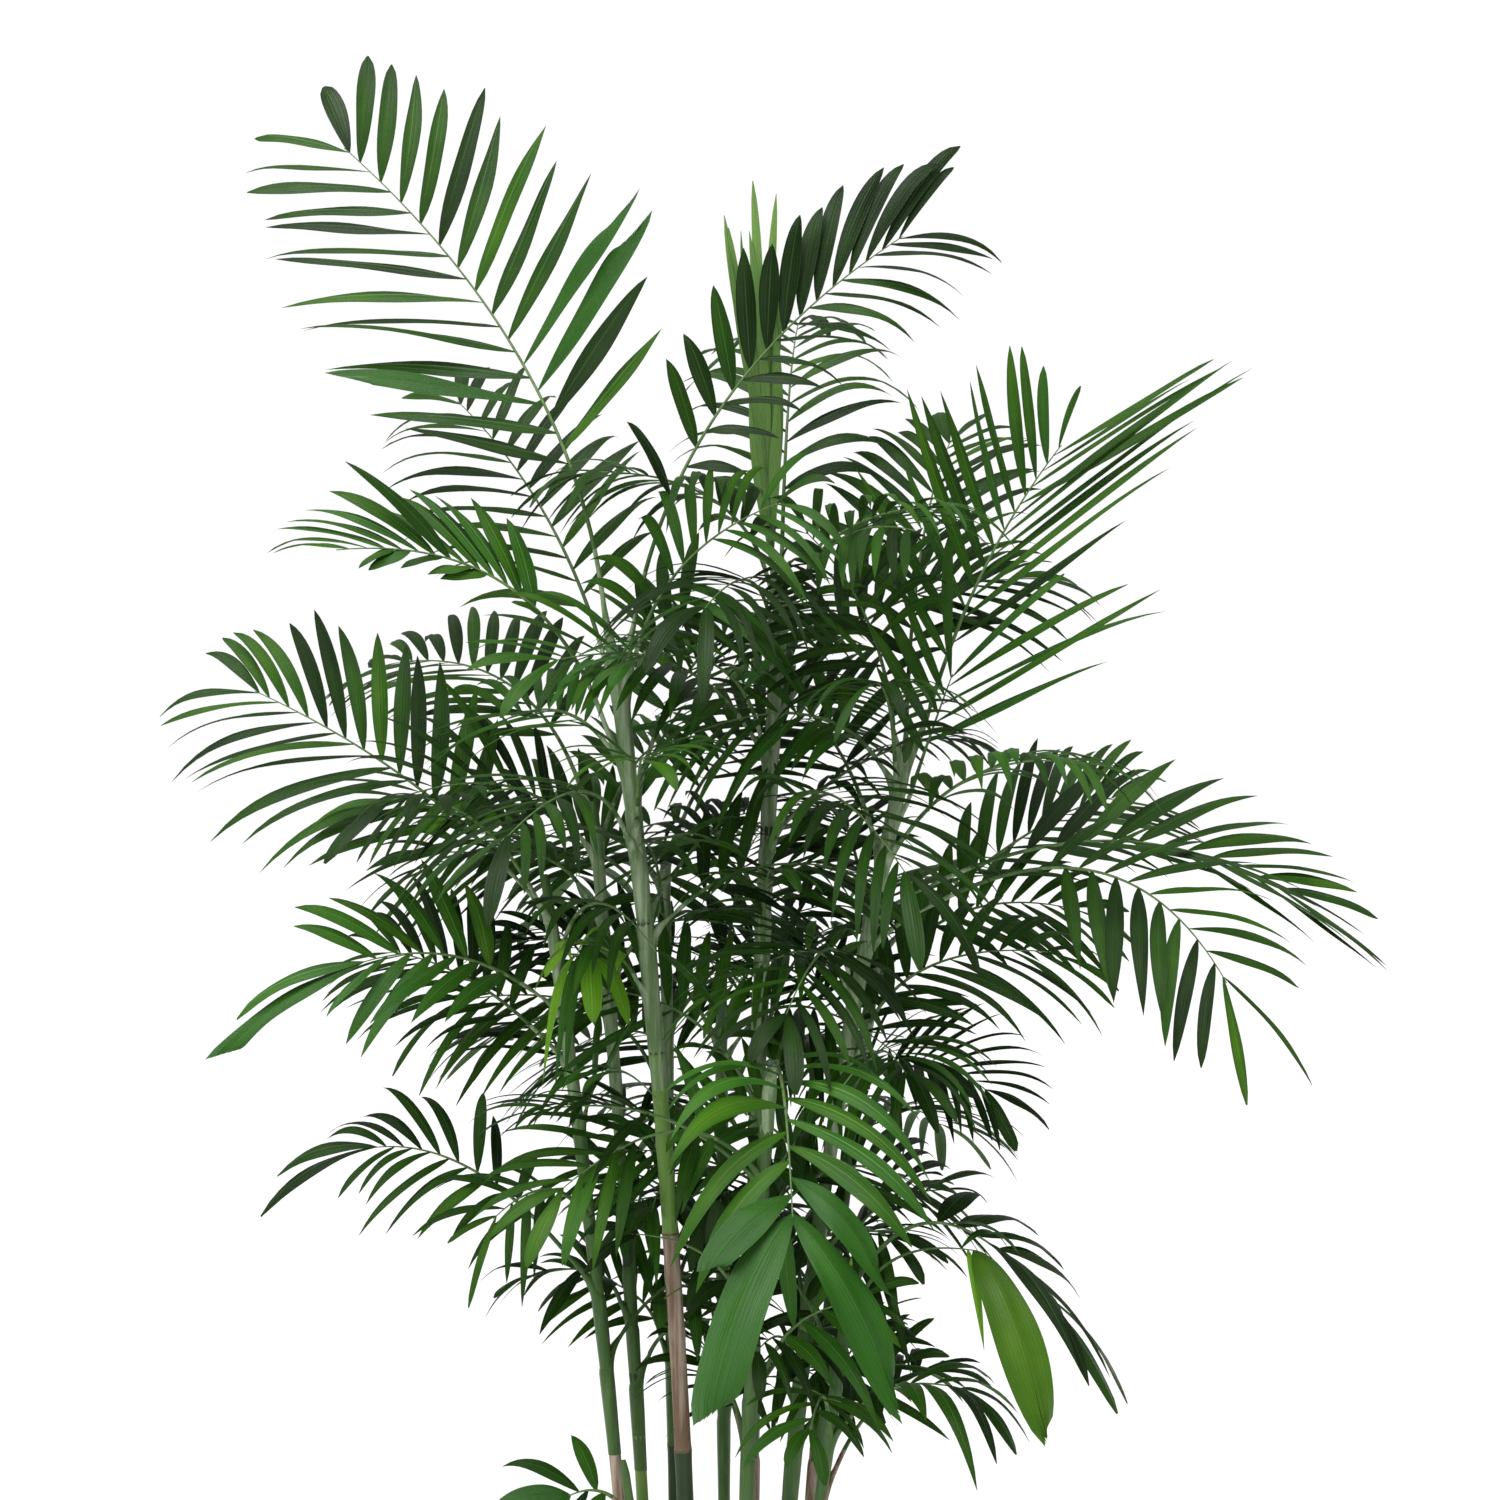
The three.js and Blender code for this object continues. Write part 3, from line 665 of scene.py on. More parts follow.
def place_object(name: str, data: ID) -> Object:
    """Puts a mesh, a lamp or a camera in the scene as an object at the origin.

    Args:
        name: The object's name.
        data: The mesh, lamp or camera.

    Returns:
        The object.
    """
    made = bpy.data.objects.new(name, data)
    bpy.context.scene.collection.objects.link(made)
    return made


def grow(name: str, host: Mesh, tree: NodeTree, inputs: dict[str, object]) -> Object:
    """Runs a Geometry Nodes tree on a mesh and keeps the result as a plain mesh.

    Args:
        name: The piece's name.
        host: The mesh that carries the tree's points.
        tree: The Geometry Nodes tree.
        inputs: Values for the tree's named inputs.

    Returns:
        The piece, without its modifier.
    """
    piece = place_object(name, host)
    modifier = piece.modifiers.new("growth", "NODES")
    modifier.node_group = tree
    for item in tree.interface.items_tree:
        if item.item_type == "SOCKET" and item.in_out == "INPUT" and item.name in inputs:
            modifier[item.identifier] = inputs[item.name]
    result = bpy.data.meshes.new_from_object(piece.evaluated_get(bpy.context.evaluated_depsgraph_get()))
    piece.modifiers.remove(modifier)
    piece.data = result
    result.name = name
    for attribute in [one.name for one in result.attributes if one.name.startswith(GROWN)]:
        result.attributes.remove(result.attributes[attribute])
    return piece


def fit(piece: Object, slot: str, nodes: Iterable[str] = ()) -> None:
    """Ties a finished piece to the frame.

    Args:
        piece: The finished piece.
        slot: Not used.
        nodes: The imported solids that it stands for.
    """
    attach(piece, BODY)
    for node in nodes:
        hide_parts(node)
    log.info("%s: %d faces", piece.name, len(piece.data.polygons))


def lathe(name: str, profile: Sequence[Pair], sides: int) -> Mesh:
    """Turns a profile that starts and ends on the axis into a closed body.

    Args:
        name: The mesh's name.
        profile: Radius and height, from the bottom of the axis round to its top.
        sides: How many points go round.

    Returns:
        The mesh, with its faces pointing out.
    """
    angles = np.arange(sides) * math.tau / sides
    rings = [np.column_stack((radius * np.cos(angles), radius * np.sin(angles), np.full(sides, height)))
             for radius, height in profile[1:-1]]
    places = np.vstack([[(0, 0, profile[0][1])], *rings, [(0, 0, profile[-1][1])]])
    last = len(places) - 1
    top = last - sides
    faces = []
    for side in range(sides):
        after = (side + 1) % sides
        faces.append((0, 1 + after, 1 + side))
        faces.extend((low + side, low + after, low + sides + after, low + sides + side)
                     for low in range(1, top, sides))
        faces.append((top + side, top + after, last))
    mesh = new_mesh(name, places, faces)
    mesh.shade_smooth()
    return mesh


# What already takes up space in the crown


@dataclass(frozen=True)
class Box:
    """A slanted box: its centre, its three unit axes and its half sizes."""

    centre: Array
    axes: Array
    half: Array


def stretch_box(start: Array, end: Array, normal: Array, width: float, depth: float) -> Box:
    """Returns the box round a straight stretch.

    Args:
        start: Where the stretch starts.
        end: Where it ends.
        normal: Roughly the box's thin direction.
        width: Half its width.
        depth: Half its thickness.

    Returns:
        The box.
    """
    along = end - start
    length = np.linalg.norm(along)
    along = along / length
    across = unit(np.cross(along, normal))
    thin = np.cross(across, along)
    return Box((start + end) / 2, np.array((along, across, thin)), np.array((length / 2, width, depth)))


class Thicket:
    """The boxes that are taken, held as arrays so that a new one is tested against all of them."""

    def __init__(self) -> None:
        """Starts empty."""
        self.centres = np.empty((0, 3))
        self.axes = np.empty((0, 3, 3))
        self.halves = np.empty((0, 3))
        self.owners = np.empty(0, int)

    def add(self, boxes: Sequence[Box], owner: int) -> None:
        """Takes the space of some boxes.

        Args:
            boxes: The boxes.
            owner: The seed of their frond, or NOBODY.
        """
        if boxes:
            self.centres = np.vstack((self.centres, [box.centre for box in boxes]))
            self.axes = np.concatenate((self.axes, [box.axes for box in boxes]))
            self.halves = np.vstack((self.halves, [box.half for box in boxes]))
            self.owners = np.concatenate((self.owners, [owner] * len(boxes)))

    def touches(self, box: Box, owner: int) -> bool:
        """Tells whether a box meets any that isn't its owner's.

        Args:
            box: The box to test.
            owner: The seed of the frond whose own rib may be touched.

        Returns:
            True if they meet, by the separating axis rule.
        """
        offset = self.centres - box.centre
        room = np.linalg.norm(self.halves, axis=1) + np.linalg.norm(box.half)
        near = (np.linalg.norm(offset, axis=1) < room) & (self.owners != owner)
        if not near.any():
            return False
        halves, axes = self.halves[near], self.axes[near]
        turn = np.einsum("ij,nkj->nik", box.axes, axes)
        grip = np.abs(turn) + 1e-9
        shift = offset[near] @ box.axes.T
        apart = (np.abs(shift) > box.half + np.einsum("nik,nk->ni", grip, halves)).any(axis=1)
        back = np.abs(np.einsum("ni,nik->nk", shift, turn))
        apart |= (back > halves + np.einsum("nik,i->nk", grip, box.half)).any(axis=1)
        one, two = [1, 2, 0], [2, 0, 1]
        reach = np.abs(shift[:, two, None] * turn[:, one, :] - shift[:, one, None] * turn[:, two, :])
        room = (box.half[one, None] * grip[:, two, :] + box.half[two, None] * grip[:, one, :]
                + halves[:, None, one] * grip[:, :, two] + halves[:, None, two] * grip[:, :, one])
        apart |= (reach > room).any(axis=(1, 2))
        return bool((~apart).any())


# Canes


@dataclass(frozen=True)
class CanePlan:
    """A cane's sizes: foot on the soil, top, shallow bow, radius at foot and top, and its colours upwards."""

    foot: Pair
    top: Triple
    bow: Pair
    radii: Pair
    tones: tuple[tuple[float, StemTone], ...]


PLAIN_CANE = ((0.5, StemTone.OLIVE), (0.8, StemTone.GREEN), (9.0, StemTone.WAXY))

CANES = {
    "front": CanePlan((-0.025, -0.040), (-0.108, -0.055, 1.400), (0.014, 0.0), (0.0095, 0.0075),
                      ((0.53, StemTone.OLIVE), (0.765, StemTone.DRY), (0.96, StemTone.YELLOW),
                       (1.1, StemTone.GREEN), (9.0, StemTone.WAXY))),
    "low_front": CanePlan(
        (0.030, -0.060), (0.062, -0.095, 0.960), (-0.006, 0.0), (0.0075, 0.006), PLAIN_CANE),
    "low_right": CanePlan((0.085, -0.050), (0.150, -0.110, 0.760), (0.0, 0.0), (0.0065, 0.005),
                          ((0.54, StemTone.DRY), (9.0, StemTone.YELLOW))),
    "right": CanePlan((0.070, -0.020), (0.215, -0.010, 1.300), (-0.025, 0.0), (0.0085, 0.0065),
                      ((0.53, StemTone.DRY), (0.75, StemTone.YELLOW), (9.0, StemTone.GREEN))),
    "left": CanePlan((-0.088, -0.010), (-0.190, 0.030, 1.150), (0.006, 0.010), (0.007, 0.0055),
                     ((0.585, StemTone.DRY), (9.0, StemTone.GREEN))),
    "middle": CanePlan((0.040, 0.020), (0.075, 0.030, 1.480), (-0.012, 0.0), (0.009, 0.007),
                       ((0.8, StemTone.OLIVE), (1.05, StemTone.GREEN), (9.0, StemTone.OLIVE))),
    "back_right": CanePlan((0.095, 0.030), (0.190, 0.120, 1.080), (-0.010, 0.010), (0.0075, 0.006),
                           ((0.5, StemTone.DRY), (9.0, StemTone.GREEN))),
    "back_left": CanePlan((-0.072, 0.030), (-0.140, 0.090, 1.230), (0.004, 0.010), (0.007, 0.0055),
                          ((0.52, StemTone.YELLOW), (0.75, StemTone.OLIVE), (9.0, StemTone.GREEN))),
    "back_middle": CanePlan(
        (-0.045, 0.060), (-0.060, 0.120, 1.180), (0.0, 0.010), (0.0065, 0.005), PLAIN_CANE),
    "back": CanePlan((0.010, 0.070), (0.005, 0.150, 1.000), (0.0, 0.010), (0.0065, 0.0055), PLAIN_CANE),
    "low_left": CanePlan((-0.060, -0.075), (-0.095, -0.110, 0.540), (0.0, 0.0), (0.006, 0.0045),
                         ((0.36, StemTone.DRY), (9.0, StemTone.GREEN))),
}


@dataclass(frozen=True)
class TubePath:
    """A path for a tube: points, radii, the side that faces up, and the colour band of each point."""

    points: Array
    radii: Array
    uppers: Array
    bands: Array


@dataclass
class Cane:
    """One cane: its middle line, its rings and its boxes.

    bare_end is the stretch without rings at foot and top. internodes are the shortest and the longest stretch
    between two rings; it grows from the foot, on from internode_start of its curve, and shrinks to the top.
    A ring's swelling fades by ring_fade above it, and fades_below times as fast below it. stops_above and
    stops_below are where the tube has points beside a ring. tip is the height over which the top is rounded
    off, and what is left of it at the very end.
    """

    name: str
    plan: CanePlan
    number: int
    soil: float
    bare_end: float = 0.03
    internodes: Pair = (0.045, 0.125)
    internode_start: float = 0.12
    internode_stray: float = 0.2
    ring_swell: float = 0.0009
    ring_height: float = 0.0024
    ring_fade: float = 0.004
    fades_below: float = 0.4
    stops_above: Pair = (0.003, 0.007)
    stops_below: Pair = (0.003, 0.008)
    stop_gap: float = 0.014
    sunk: float = 0.01
    tip: Pair = (0.02, 0.15)
    box_ends: int = 13

    def share(self, z: float) -> float:
        """Returns how far up the cane a height lies, from 0 to 1."""
        return (z - self.soil) / (self.plan.top[2] - self.soil)

    def at(self, z: float) -> Array:
        """Finds the middle line at a height.

        Args:
            z: The height.

        Returns:
            The point.
        """
        share = self.share(z)
        rise = 4 * share * (1 - share)
        x, y = (mix(self.plan.foot[i], self.plan.top[i], share) + self.plan.bow[i] * rise for i in range(2))
        return np.array((x, y, z))

    def radius(self, z: float) -> float:
        """Returns the cane's radius at a height."""
        return mix(*self.plan.radii, self.share(z))

    def rings(self) -> list[float]:
        """Spaces the node rings, closer near the foot and near the top.

        Returns:
            The heights, from the foot up.
        """
        heights = []
        z = self.soil + self.bare_end
        while z < self.plan.top[2] - self.bare_end:
            heights.append(z)
            stray = 1 - self.internode_stray + self.internode_stray * wander(self.number + z)
            long = math.sin(math.pi * min(1.0, self.share(z) + self.internode_start)) * stray
            z += mix(*self.internodes, max(0.0, long))
        for limit, _ in self.plan.tones:
            if heights[0] < limit < heights[-1]:
                nearest = min(range(len(heights)), key=lambda i: abs(heights[i] - limit))
                heights[nearest] = limit
        return heights

    def tone(self, z: float) -> StemTone:
        """Returns the colour of the cane at a height."""
        return next(tone for limit, tone in self.plan.tones if z < limit)

    def path(self) -> TubePath:
        """Works out the cane as a tube with a swollen scar at each node.

        Returns:
            The path, from the foot up.
        """
        top, half = self.plan.top[2], self.ring_height / 2
        stops = [self.soil - self.sunk, *self.rings(), top]
        points, radii, bands = [], [], []
        for lower, upper in zip(stops, stops[1:]):
            start, end = lower + half, upper - half
            inner = np.linspace(start, end, max(3, round((end - start) / self.stop_gap)) + 1)
            beside = [*(start + gap for gap in self.stops_above), *(end - gap for gap in self.stops_below)]
            for z in sorted({*inner, *beside}):
                near = min(z - lower, self.fades_below * (upper - z))
                swell = self.ring_swell * math.exp(-max(0.0, near) / self.ring_fade)
                slim = math.sqrt(min(1.0, (top - z) / self.tip[0] + self.tip[1]))
                points.append(self.at(z))
                radii.append((self.radius(z) + swell) * slim)
                bands.append(self.tone((lower + upper) / 2))
        front = np.tile((0.0, -1.0, 0.0), (len(points), 1))
        return TubePath(np.array(points), np.array(radii), front, np.array(bands))

    def boxes(self) -> list[Box]:
        """Keeps leaflets off the cane.

        Returns:
            The boxes, from the foot up.
        """
        heights = np.linspace(self.soil, self.plan.top[2], self.box_ends)
        return [stretch_box(self.at(low), self.at(high), np.array((0.0, 1.0, 0.0)),
                            self.radius(low), self.radius(low))
                for low, high in zip(heights, heights[1:])]


# Fronds


@dataclass(frozen=True)
class FrondPlan:
    """A frond's sizes.

    It leaves its cane at height. reach and rise run from there to the rib's tip. launch is the angle at
    which it leaves, and pull is how far that start draws the rib. petiole is the bare share of the rib.
    facing is where the blade's upper side looks; None is the natural way, up and back to the cane. leaflet
    and width are the longest leaflet's size, spread is the angle to the rib at the first and last pair, lift
    raises the leaflets, and droop is their sag as a share of their length. terminal lengthens the last pair,
    fork is half the angle between its two leaflets, broad widens them, and swell widens the pairs just before
    them. late is the part of the usual length curve that the frond runs through, backwards if it is negative,
    and gather is the power by which pairs move closer to the tip (1 is even). dense lets leaflets overlap,
    skew spreads the left ones and folds the right ones to the rib, wild makes them less even, and sides
    scales the left and the right ones.
    """

    height: float
    azimuth: float
    reach: float
    rise: float
    launch: float = 60.0
    pull: float = 0.55
    petiole: float = 0.25
    pairs: int = 12
    facing: Pair | None = None
    leaflet: float = 0.180
    width: float = 0.017
    spread: Pair = (62.0, 38.0)
    lift: float = 14.0
    droop: float = 0.16
    terminal: float = 1.0
    fork: float = 25.0
    broad: float = 1.0
    swell: float = 0.0
    late: float = 1.0
    gather: float = 0.93
    dense: float = 1.0
    skew: float = 0.0
    wild: float = 1.0
    sides: Pair = (1.0, 1.0)
    tone: LeafTone = LeafTone.DEEP


FRONDS = {
    "front": [
        FrondPlan(1.388, 140, 0.445, 0.620, 88, 0.4, 0.33, 14, (-90, 10), 0.250, 0.022, (64, 44), droop=0.07),
        FrondPlan(1.330, 120, 0.450, 0.390, 66, 0.4, facing=(-90, 30), leaflet=0.200),
        FrondPlan(1.270, 190, 0.310, 0.228, 76, 0.68, 0.4, 14, (-60, 40), 0.160, 0.017, (38, 28), droop=0.12,
                  terminal=0.8, fork=24, broad=1.5, dense=2.2, sides=(0.35, 1.05), tone=LeafTone.MID),
        FrondPlan(1.370, 20, 0.335, 0.495, 85, 0.5, 0.3, 14, (-90, 10), 0.215, 0.016, (58, 29), droop=0.2,
                  terminal=1.1, broad=0.6, late=-0.75, gather=0.65, dense=1.6, skew=-4, wild=1.6,
                  sides=(1.0, 0.62), tone=LeafTone.DARK),
        FrondPlan(1.240, 60, 0.330, 0.200, 66, leaflet=0.190),
        FrondPlan(1.180, -120, 0.240, 0.020, 62, pairs=11, leaflet=0.170, droop=0.3),
        FrondPlan(1.090, 10, 0.240, 0.060, 50, pairs=10, facing=(-90, 50), leaflet=0.160),
    ],
    "low_front": [
        FrondPlan(0.945, -87, 0.330, -0.095, 20, 0.6, 0.2, 8, (-90, 50), spread=(62, 50), droop=0.3,
                  terminal=1.6, fork=36, broad=1.35, swell=2.6, late=1.15, wild=2.0, tone=LeafTone.FRESH),
        FrondPlan(0.900, 150, 0.240, 0.120, 66, pairs=11, facing=(-90, 40), leaflet=0.160, tone=LeafTone.MID),
        FrondPlan(0.840, -150, 0.240, 0.0, 50, pairs=10, facing=(-90, 50), leaflet=0.150, tone=LeafTone.MID),
        FrondPlan(0.780, 35, 0.220, 0.020, 50, pairs=10, facing=(-90, 50), leaflet=0.160),
    ],
    "low_right": [
        FrondPlan(0.690, -24, 0.145, 0.080, 75, petiole=0.9, pairs=2, facing=(-70, 35), leaflet=0.105,
                  width=0.022, droop=0.8, terminal=2.3, fork=46, broad=0.72, tone=LeafTone.LIME),
        FrondPlan(0.735, -5, 0.200, -0.020, 58, 0.7, 0.45, 6, leaflet=0.150, width=0.019, spread=(60, 38),
                  droop=0.3, terminal=1.6, broad=0.6, dense=2.5, wild=2.5, tone=LeafTone.DARK),
        FrondPlan(0.560, -20, 0.150, 0.060, pairs=5, leaflet=0.130, width=0.018, droop=0.5),
    ],
    "right": [
        FrondPlan(1.285, 10, 0.175, 0.340, 75, facing=(-85, 20), leaflet=0.235, width=0.012, spread=(42, 35),
                  droop=0.04, terminal=0.6, late=1.12, skew=9, wild=2.6, sides=(1.0, 1.5), tone=LeafTone.MID),
        FrondPlan(1.260, 70, 0.200, 0.390, 88, 0.6, pairs=13, facing=(-100, 40)),
        FrondPlan(1.215, -10, 0.065, 0.155, 72, 0.5, 0.4, 5, (-95, 30), 0.315, 0.011, (48, 40), droop=0.06,
                  sides=(0.5, 1.0), tone=LeafTone.MID),
        FrondPlan(1.080, -20, 0.390, -0.035, 35, 0.8, 0.4, 9, (-80, 50), 0.175, 0.013, (70, 54), lift=0,
                  droop=0.1, terminal=1.3, broad=0.7, skew=-4),
        FrondPlan(1.110, 10, 0.505, 0.0, 30, 0.6, 0.3, 12, (-110, 55), 0.205, spread=(44, 22), droop=0.05,
                  dense=1.4, wild=1.8),
        FrondPlan(1.170, 120, 0.330, 0.200, 66, facing=(-90, 40), leaflet=0.190),
        FrondPlan(1.020, -110, 0.240, 0.0, pairs=11, facing=(-90, 40), leaflet=0.170, tone=LeafTone.DARK),
    ],
    "left": [
        FrondPlan(1.110, 165, 0.360, 0.245, 50, 0.45, pairs=13, facing=(-85, 25), leaflet=0.205, width=0.0155,
                  spread=(60, 34)),
        FrondPlan(1.000, 195, 0.225, 0.055, 42, 0.58, pairs=7, facing=(-85, 35), leaflet=0.150, width=0.018,
                  droop=0.12, terminal=1.75, fork=10, broad=0.68, wild=2.5, tone=LeafTone.FRESH),
        FrondPlan(0.700, 185, 0.245, 0.150, 54, 0.7, pairs=9, facing=(-80, 40), leaflet=0.140, width=0.010,
                  droop=0.3, terminal=1.6, fork=12, broad=1.1, wild=3.5, sides=(0.8, 1.0)),
        FrondPlan(1.060, -60, 0.240, 0.020, pairs=11, leaflet=0.160, droop=0.3),
        FrondPlan(0.880, 110, 0.300, 0.060, 55, pairs=11, facing=(-90, 40), leaflet=0.170),
        FrondPlan(0.620, 45, 0.200, 0.060, 50, pairs=9, facing=(-90, 40), leaflet=0.150),
    ],
    "middle": [
        FrondPlan(1.465, 150, 0.030, 0.225, 88, petiole=0.05, pairs=11, facing=(-90, 10), leaflet=0.250,
                  width=0.010, spread=(6, 9), lift=2, droop=0.0, fork=6, late=0.6, dense=6, wild=2.6,
                  tone=LeafTone.SPEAR),
        FrondPlan(1.435, 85, 0.300, 0.380, 80, leaflet=0.190, droop=0.4),
        FrondPlan(1.400, -110, 0.230, 0.030, 72, droop=0.4, tone=LeafTone.DARK),
        FrondPlan(1.330, 10, 0.280, 0.150, facing=(-90, 60)),
        FrondPlan(1.280, 215, 0.280, 0.100, facing=(-90, 50), tone=LeafTone.MID),
        FrondPlan(1.180, -60, 0.280, -0.020, droop=0.3),
    ],
    "back_right": [
        FrondPlan(1.060, 20, 0.305, 0.170, 40, 0.7, facing=(-90, 40), spread=(50, 30)),
        FrondPlan(1.000, 80, 0.330, 0.120, leaflet=0.190),
        FrondPlan(0.900, -35, 0.170, 0.010, 50, pairs=10, facing=(-90, 60), leaflet=0.130,
                  tone=LeafTone.DARK),
    ],
    "back_left": [
        FrondPlan(1.215, 140, 0.330, 0.180, 70, facing=(-90, 50), leaflet=0.190),
        FrondPlan(1.170, -160, 0.240, 0.060, 62, facing=(-90, 50), leaflet=0.170),
        FrondPlan(1.080, 100, 0.330, 0.040, 50),
    ],
    "back_middle": [
        FrondPlan(1.165, 50, 0.300, 0.160, 66, facing=(-90, 40)),
        FrondPlan(1.100, 160, 0.300, 0.060, 55, facing=(-90, 40)),
    ],
    "back": [
        FrondPlan(0.985, 80, 0.300, 0.200, 70),
        FrondPlan(0.930, -40, 0.260, 0.020, pairs=11, facing=(-90, 40)),
        FrondPlan(0.870, 130, 0.300, 0.040, 50, pairs=11, facing=(-90, 40)),
        FrondPlan(0.760, -90, 0.150, 0.040, pairs=9, leaflet=0.150, droop=0.4),
        FrondPlan(0.540, -50, 0.170, 0.060, pairs=8, leaflet=0.150, droop=0.4),
    ],
    "low_left": [
        FrondPlan(0.490, 200, 0.070, 0.015, 50, pairs=3, facing=(-80, 35), leaflet=0.105, width=0.026,
                  terminal=1.3),
    ],
}

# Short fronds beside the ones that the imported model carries
SIDE_FRONDS = {
    "middle": [
        FrondPlan(1.455, 205, 0.230, 0.130, 80, leaflet=0.165, width=0.011, droop=0.45),
        FrondPlan(1.425, -35, 0.210, 0.120, 78, leaflet=0.150, width=0.011, droop=0.45, tone=LeafTone.MID),
    ],
    "right": [
        FrondPlan(1.275, 185, 0.110, 0.250, 88, 0.6, facing=(-90, 10), leaflet=0.180, width=0.010,
                  spread=(70, 50), droop=0.4),
        FrondPlan(1.235, -100, 0.180, 0.120, 80, leaflet=0.150, width=0.011, droop=0.45),
    ],
    "front": [
        FrondPlan(1.355, -25, 0.190, 0.190, 80, leaflet=0.160, width=0.012, droop=0.4, facing=(-90, 20),
                  tone=LeafTone.MID),
        FrondPlan(1.030, 200, 0.080, 0.050, 70, petiole=0.4, pairs=3, leaflet=0.090, width=0.020, droop=0.7,
                  tone=LeafTone.LIME),
    ],
    "left": [
        FrondPlan(1.030, -60, 0.080, 0.030, 70, petiole=0.35, pairs=4, leaflet=0.110, width=0.020,
                  facing=(-90, 30), droop=0.9, tone=LeafTone.LIME),
        FrondPlan(0.845, 188, 0.265, -0.025, 36, 0.6, 0.35, 10, (-80, 45), 0.100, 0.008, (48, 20), droop=0.5,
                  wild=3.0, sides=(0.8, 1.0), tone=LeafTone.MID),
        FrondPlan(0.780, 215, 0.120, 0.0, 50, petiole=0.3, pairs=5, facing=(-80, 40), leaflet=0.120,
                  width=0.008, spread=(60, 40), droop=0.3, wild=3.5),
    ],
}


@dataclass(frozen=True)
class InnerFronds:
    """The rule for the short fronds inside the crown, which stand round each cane in a spiral.

    starts gives canes with the height of their topmost frond and how many there are. step leads down to the
    next frond and turn round to it. cane_turn and cane_seed set one cane's fronds off from the next one's.
    """

    starts: tuple[tuple[str, float, int], ...]
    seed: float
    cane_seed: int = 17
    cane_turn: float = 61.0
    step: float = 0.078
    turn: float = 137.5
    tries: tuple[float, ...] = (0, 14, -14, 28, -28, 42, -42, 56, -56, 70, -70)
    reach: Pair = (0.17, 0.27)
    rise: Pair = (0.02, 0.15)
    launch: Pair = (45.0, 78.0)
    leaflet: Pair = (0.125, 0.165)
    pairs: Pair = (9, 12)
    droop: Pair = (0.15, 0.4)
    width: float = 0.013
    wild: float = 1.0
    front_face: Pair = (-90.0, 45.0)
    tones: tuple[LeafTone, ...] = (LeafTone.DEEP, LeafTone.FRESH, LeafTone.MID, LeafTone.DARK, LeafTone.MID)

    def plans(self, cane: Cane) -> Iterable[list[FrondPlan]]:
        """Gives the inner fronds of one cane, each as the list of turns that it may take.

        Args:
            cane: The cane.

        Returns:
            For each frond its sizes at every azimuth that it may turn to, the best first.
        """
        for name, top, count in self.starts:
            for number in range(count if name == cane.name else 0):
                seed = self.seed + cane.number * self.cane_seed + number
                azimuth = cane.number * self.cane_turn + number * self.turn
                first = self.plan(top - self.step * number, seed, azimuth)
                yield [replace(first, azimuth=azimuth + shift) for shift in self.tries]

    def plan(self, height: float, seed: float, azimuth: float) -> FrondPlan:
        """Returns one inner frond.

        Args:
            height: Where it leaves its cane.
            seed: Makes its sizes its own.
            azimuth: Where it points.

        Returns:
            The frond's sizes.
        """
        def pick(ends: Pair, place: float) -> float:
            """Returns a repeatable value between two ends."""
            return mix(*ends, 0.5 + 0.5 * wander(seed + place))

        return FrondPlan(
            height, azimuth, pick(self.reach, 0.1), pick(self.rise, 0.2), pick(self.launch, 0.3),
            pairs=round(pick(self.pairs, 0.4)), leaflet=pick(self.leaflet, 0.5), width=self.width,
            facing=self.front_face if wander(seed + 0.6) > 0 else None, droop=pick(self.droop, 0.7),
            wild=self.wild, tone=self.tones[round(seed) % len(self.tones)])


HEART = InnerFronds(
    starts=(("front", 1.35, 4), ("middle", 1.43, 7), ("right", 1.25, 5), ("left", 1.10, 4),
            ("back_left", 1.18, 4), ("back_middle", 1.13, 4), ("back_right", 1.03, 5), ("back", 0.95, 5),
            ("low_front", 0.91, 2)),
    seed=1000.0)
THICKET_AT_FOOT = InnerFronds(
    starts=(("low_front", 0.74, 4), ("low_right", 0.63, 3), ("right", 0.80, 5), ("middle", 0.78, 5),
            ("back_right", 0.70, 4), ("back_middle", 0.80, 4), ("back", 0.70, 3), ("back_left", 0.72, 3)),
    seed=3000.0, step=0.065, reach=(0.09, 0.18), rise=(0.03, 0.12), launch=(60.0, 84.0), leaflet=(0.10, 0.15),
    pairs=(4, 7), wild=3.0, tones=(LeafTone.DARK, LeafTone.DEEP, LeafTone.DARK, LeafTone.MID))


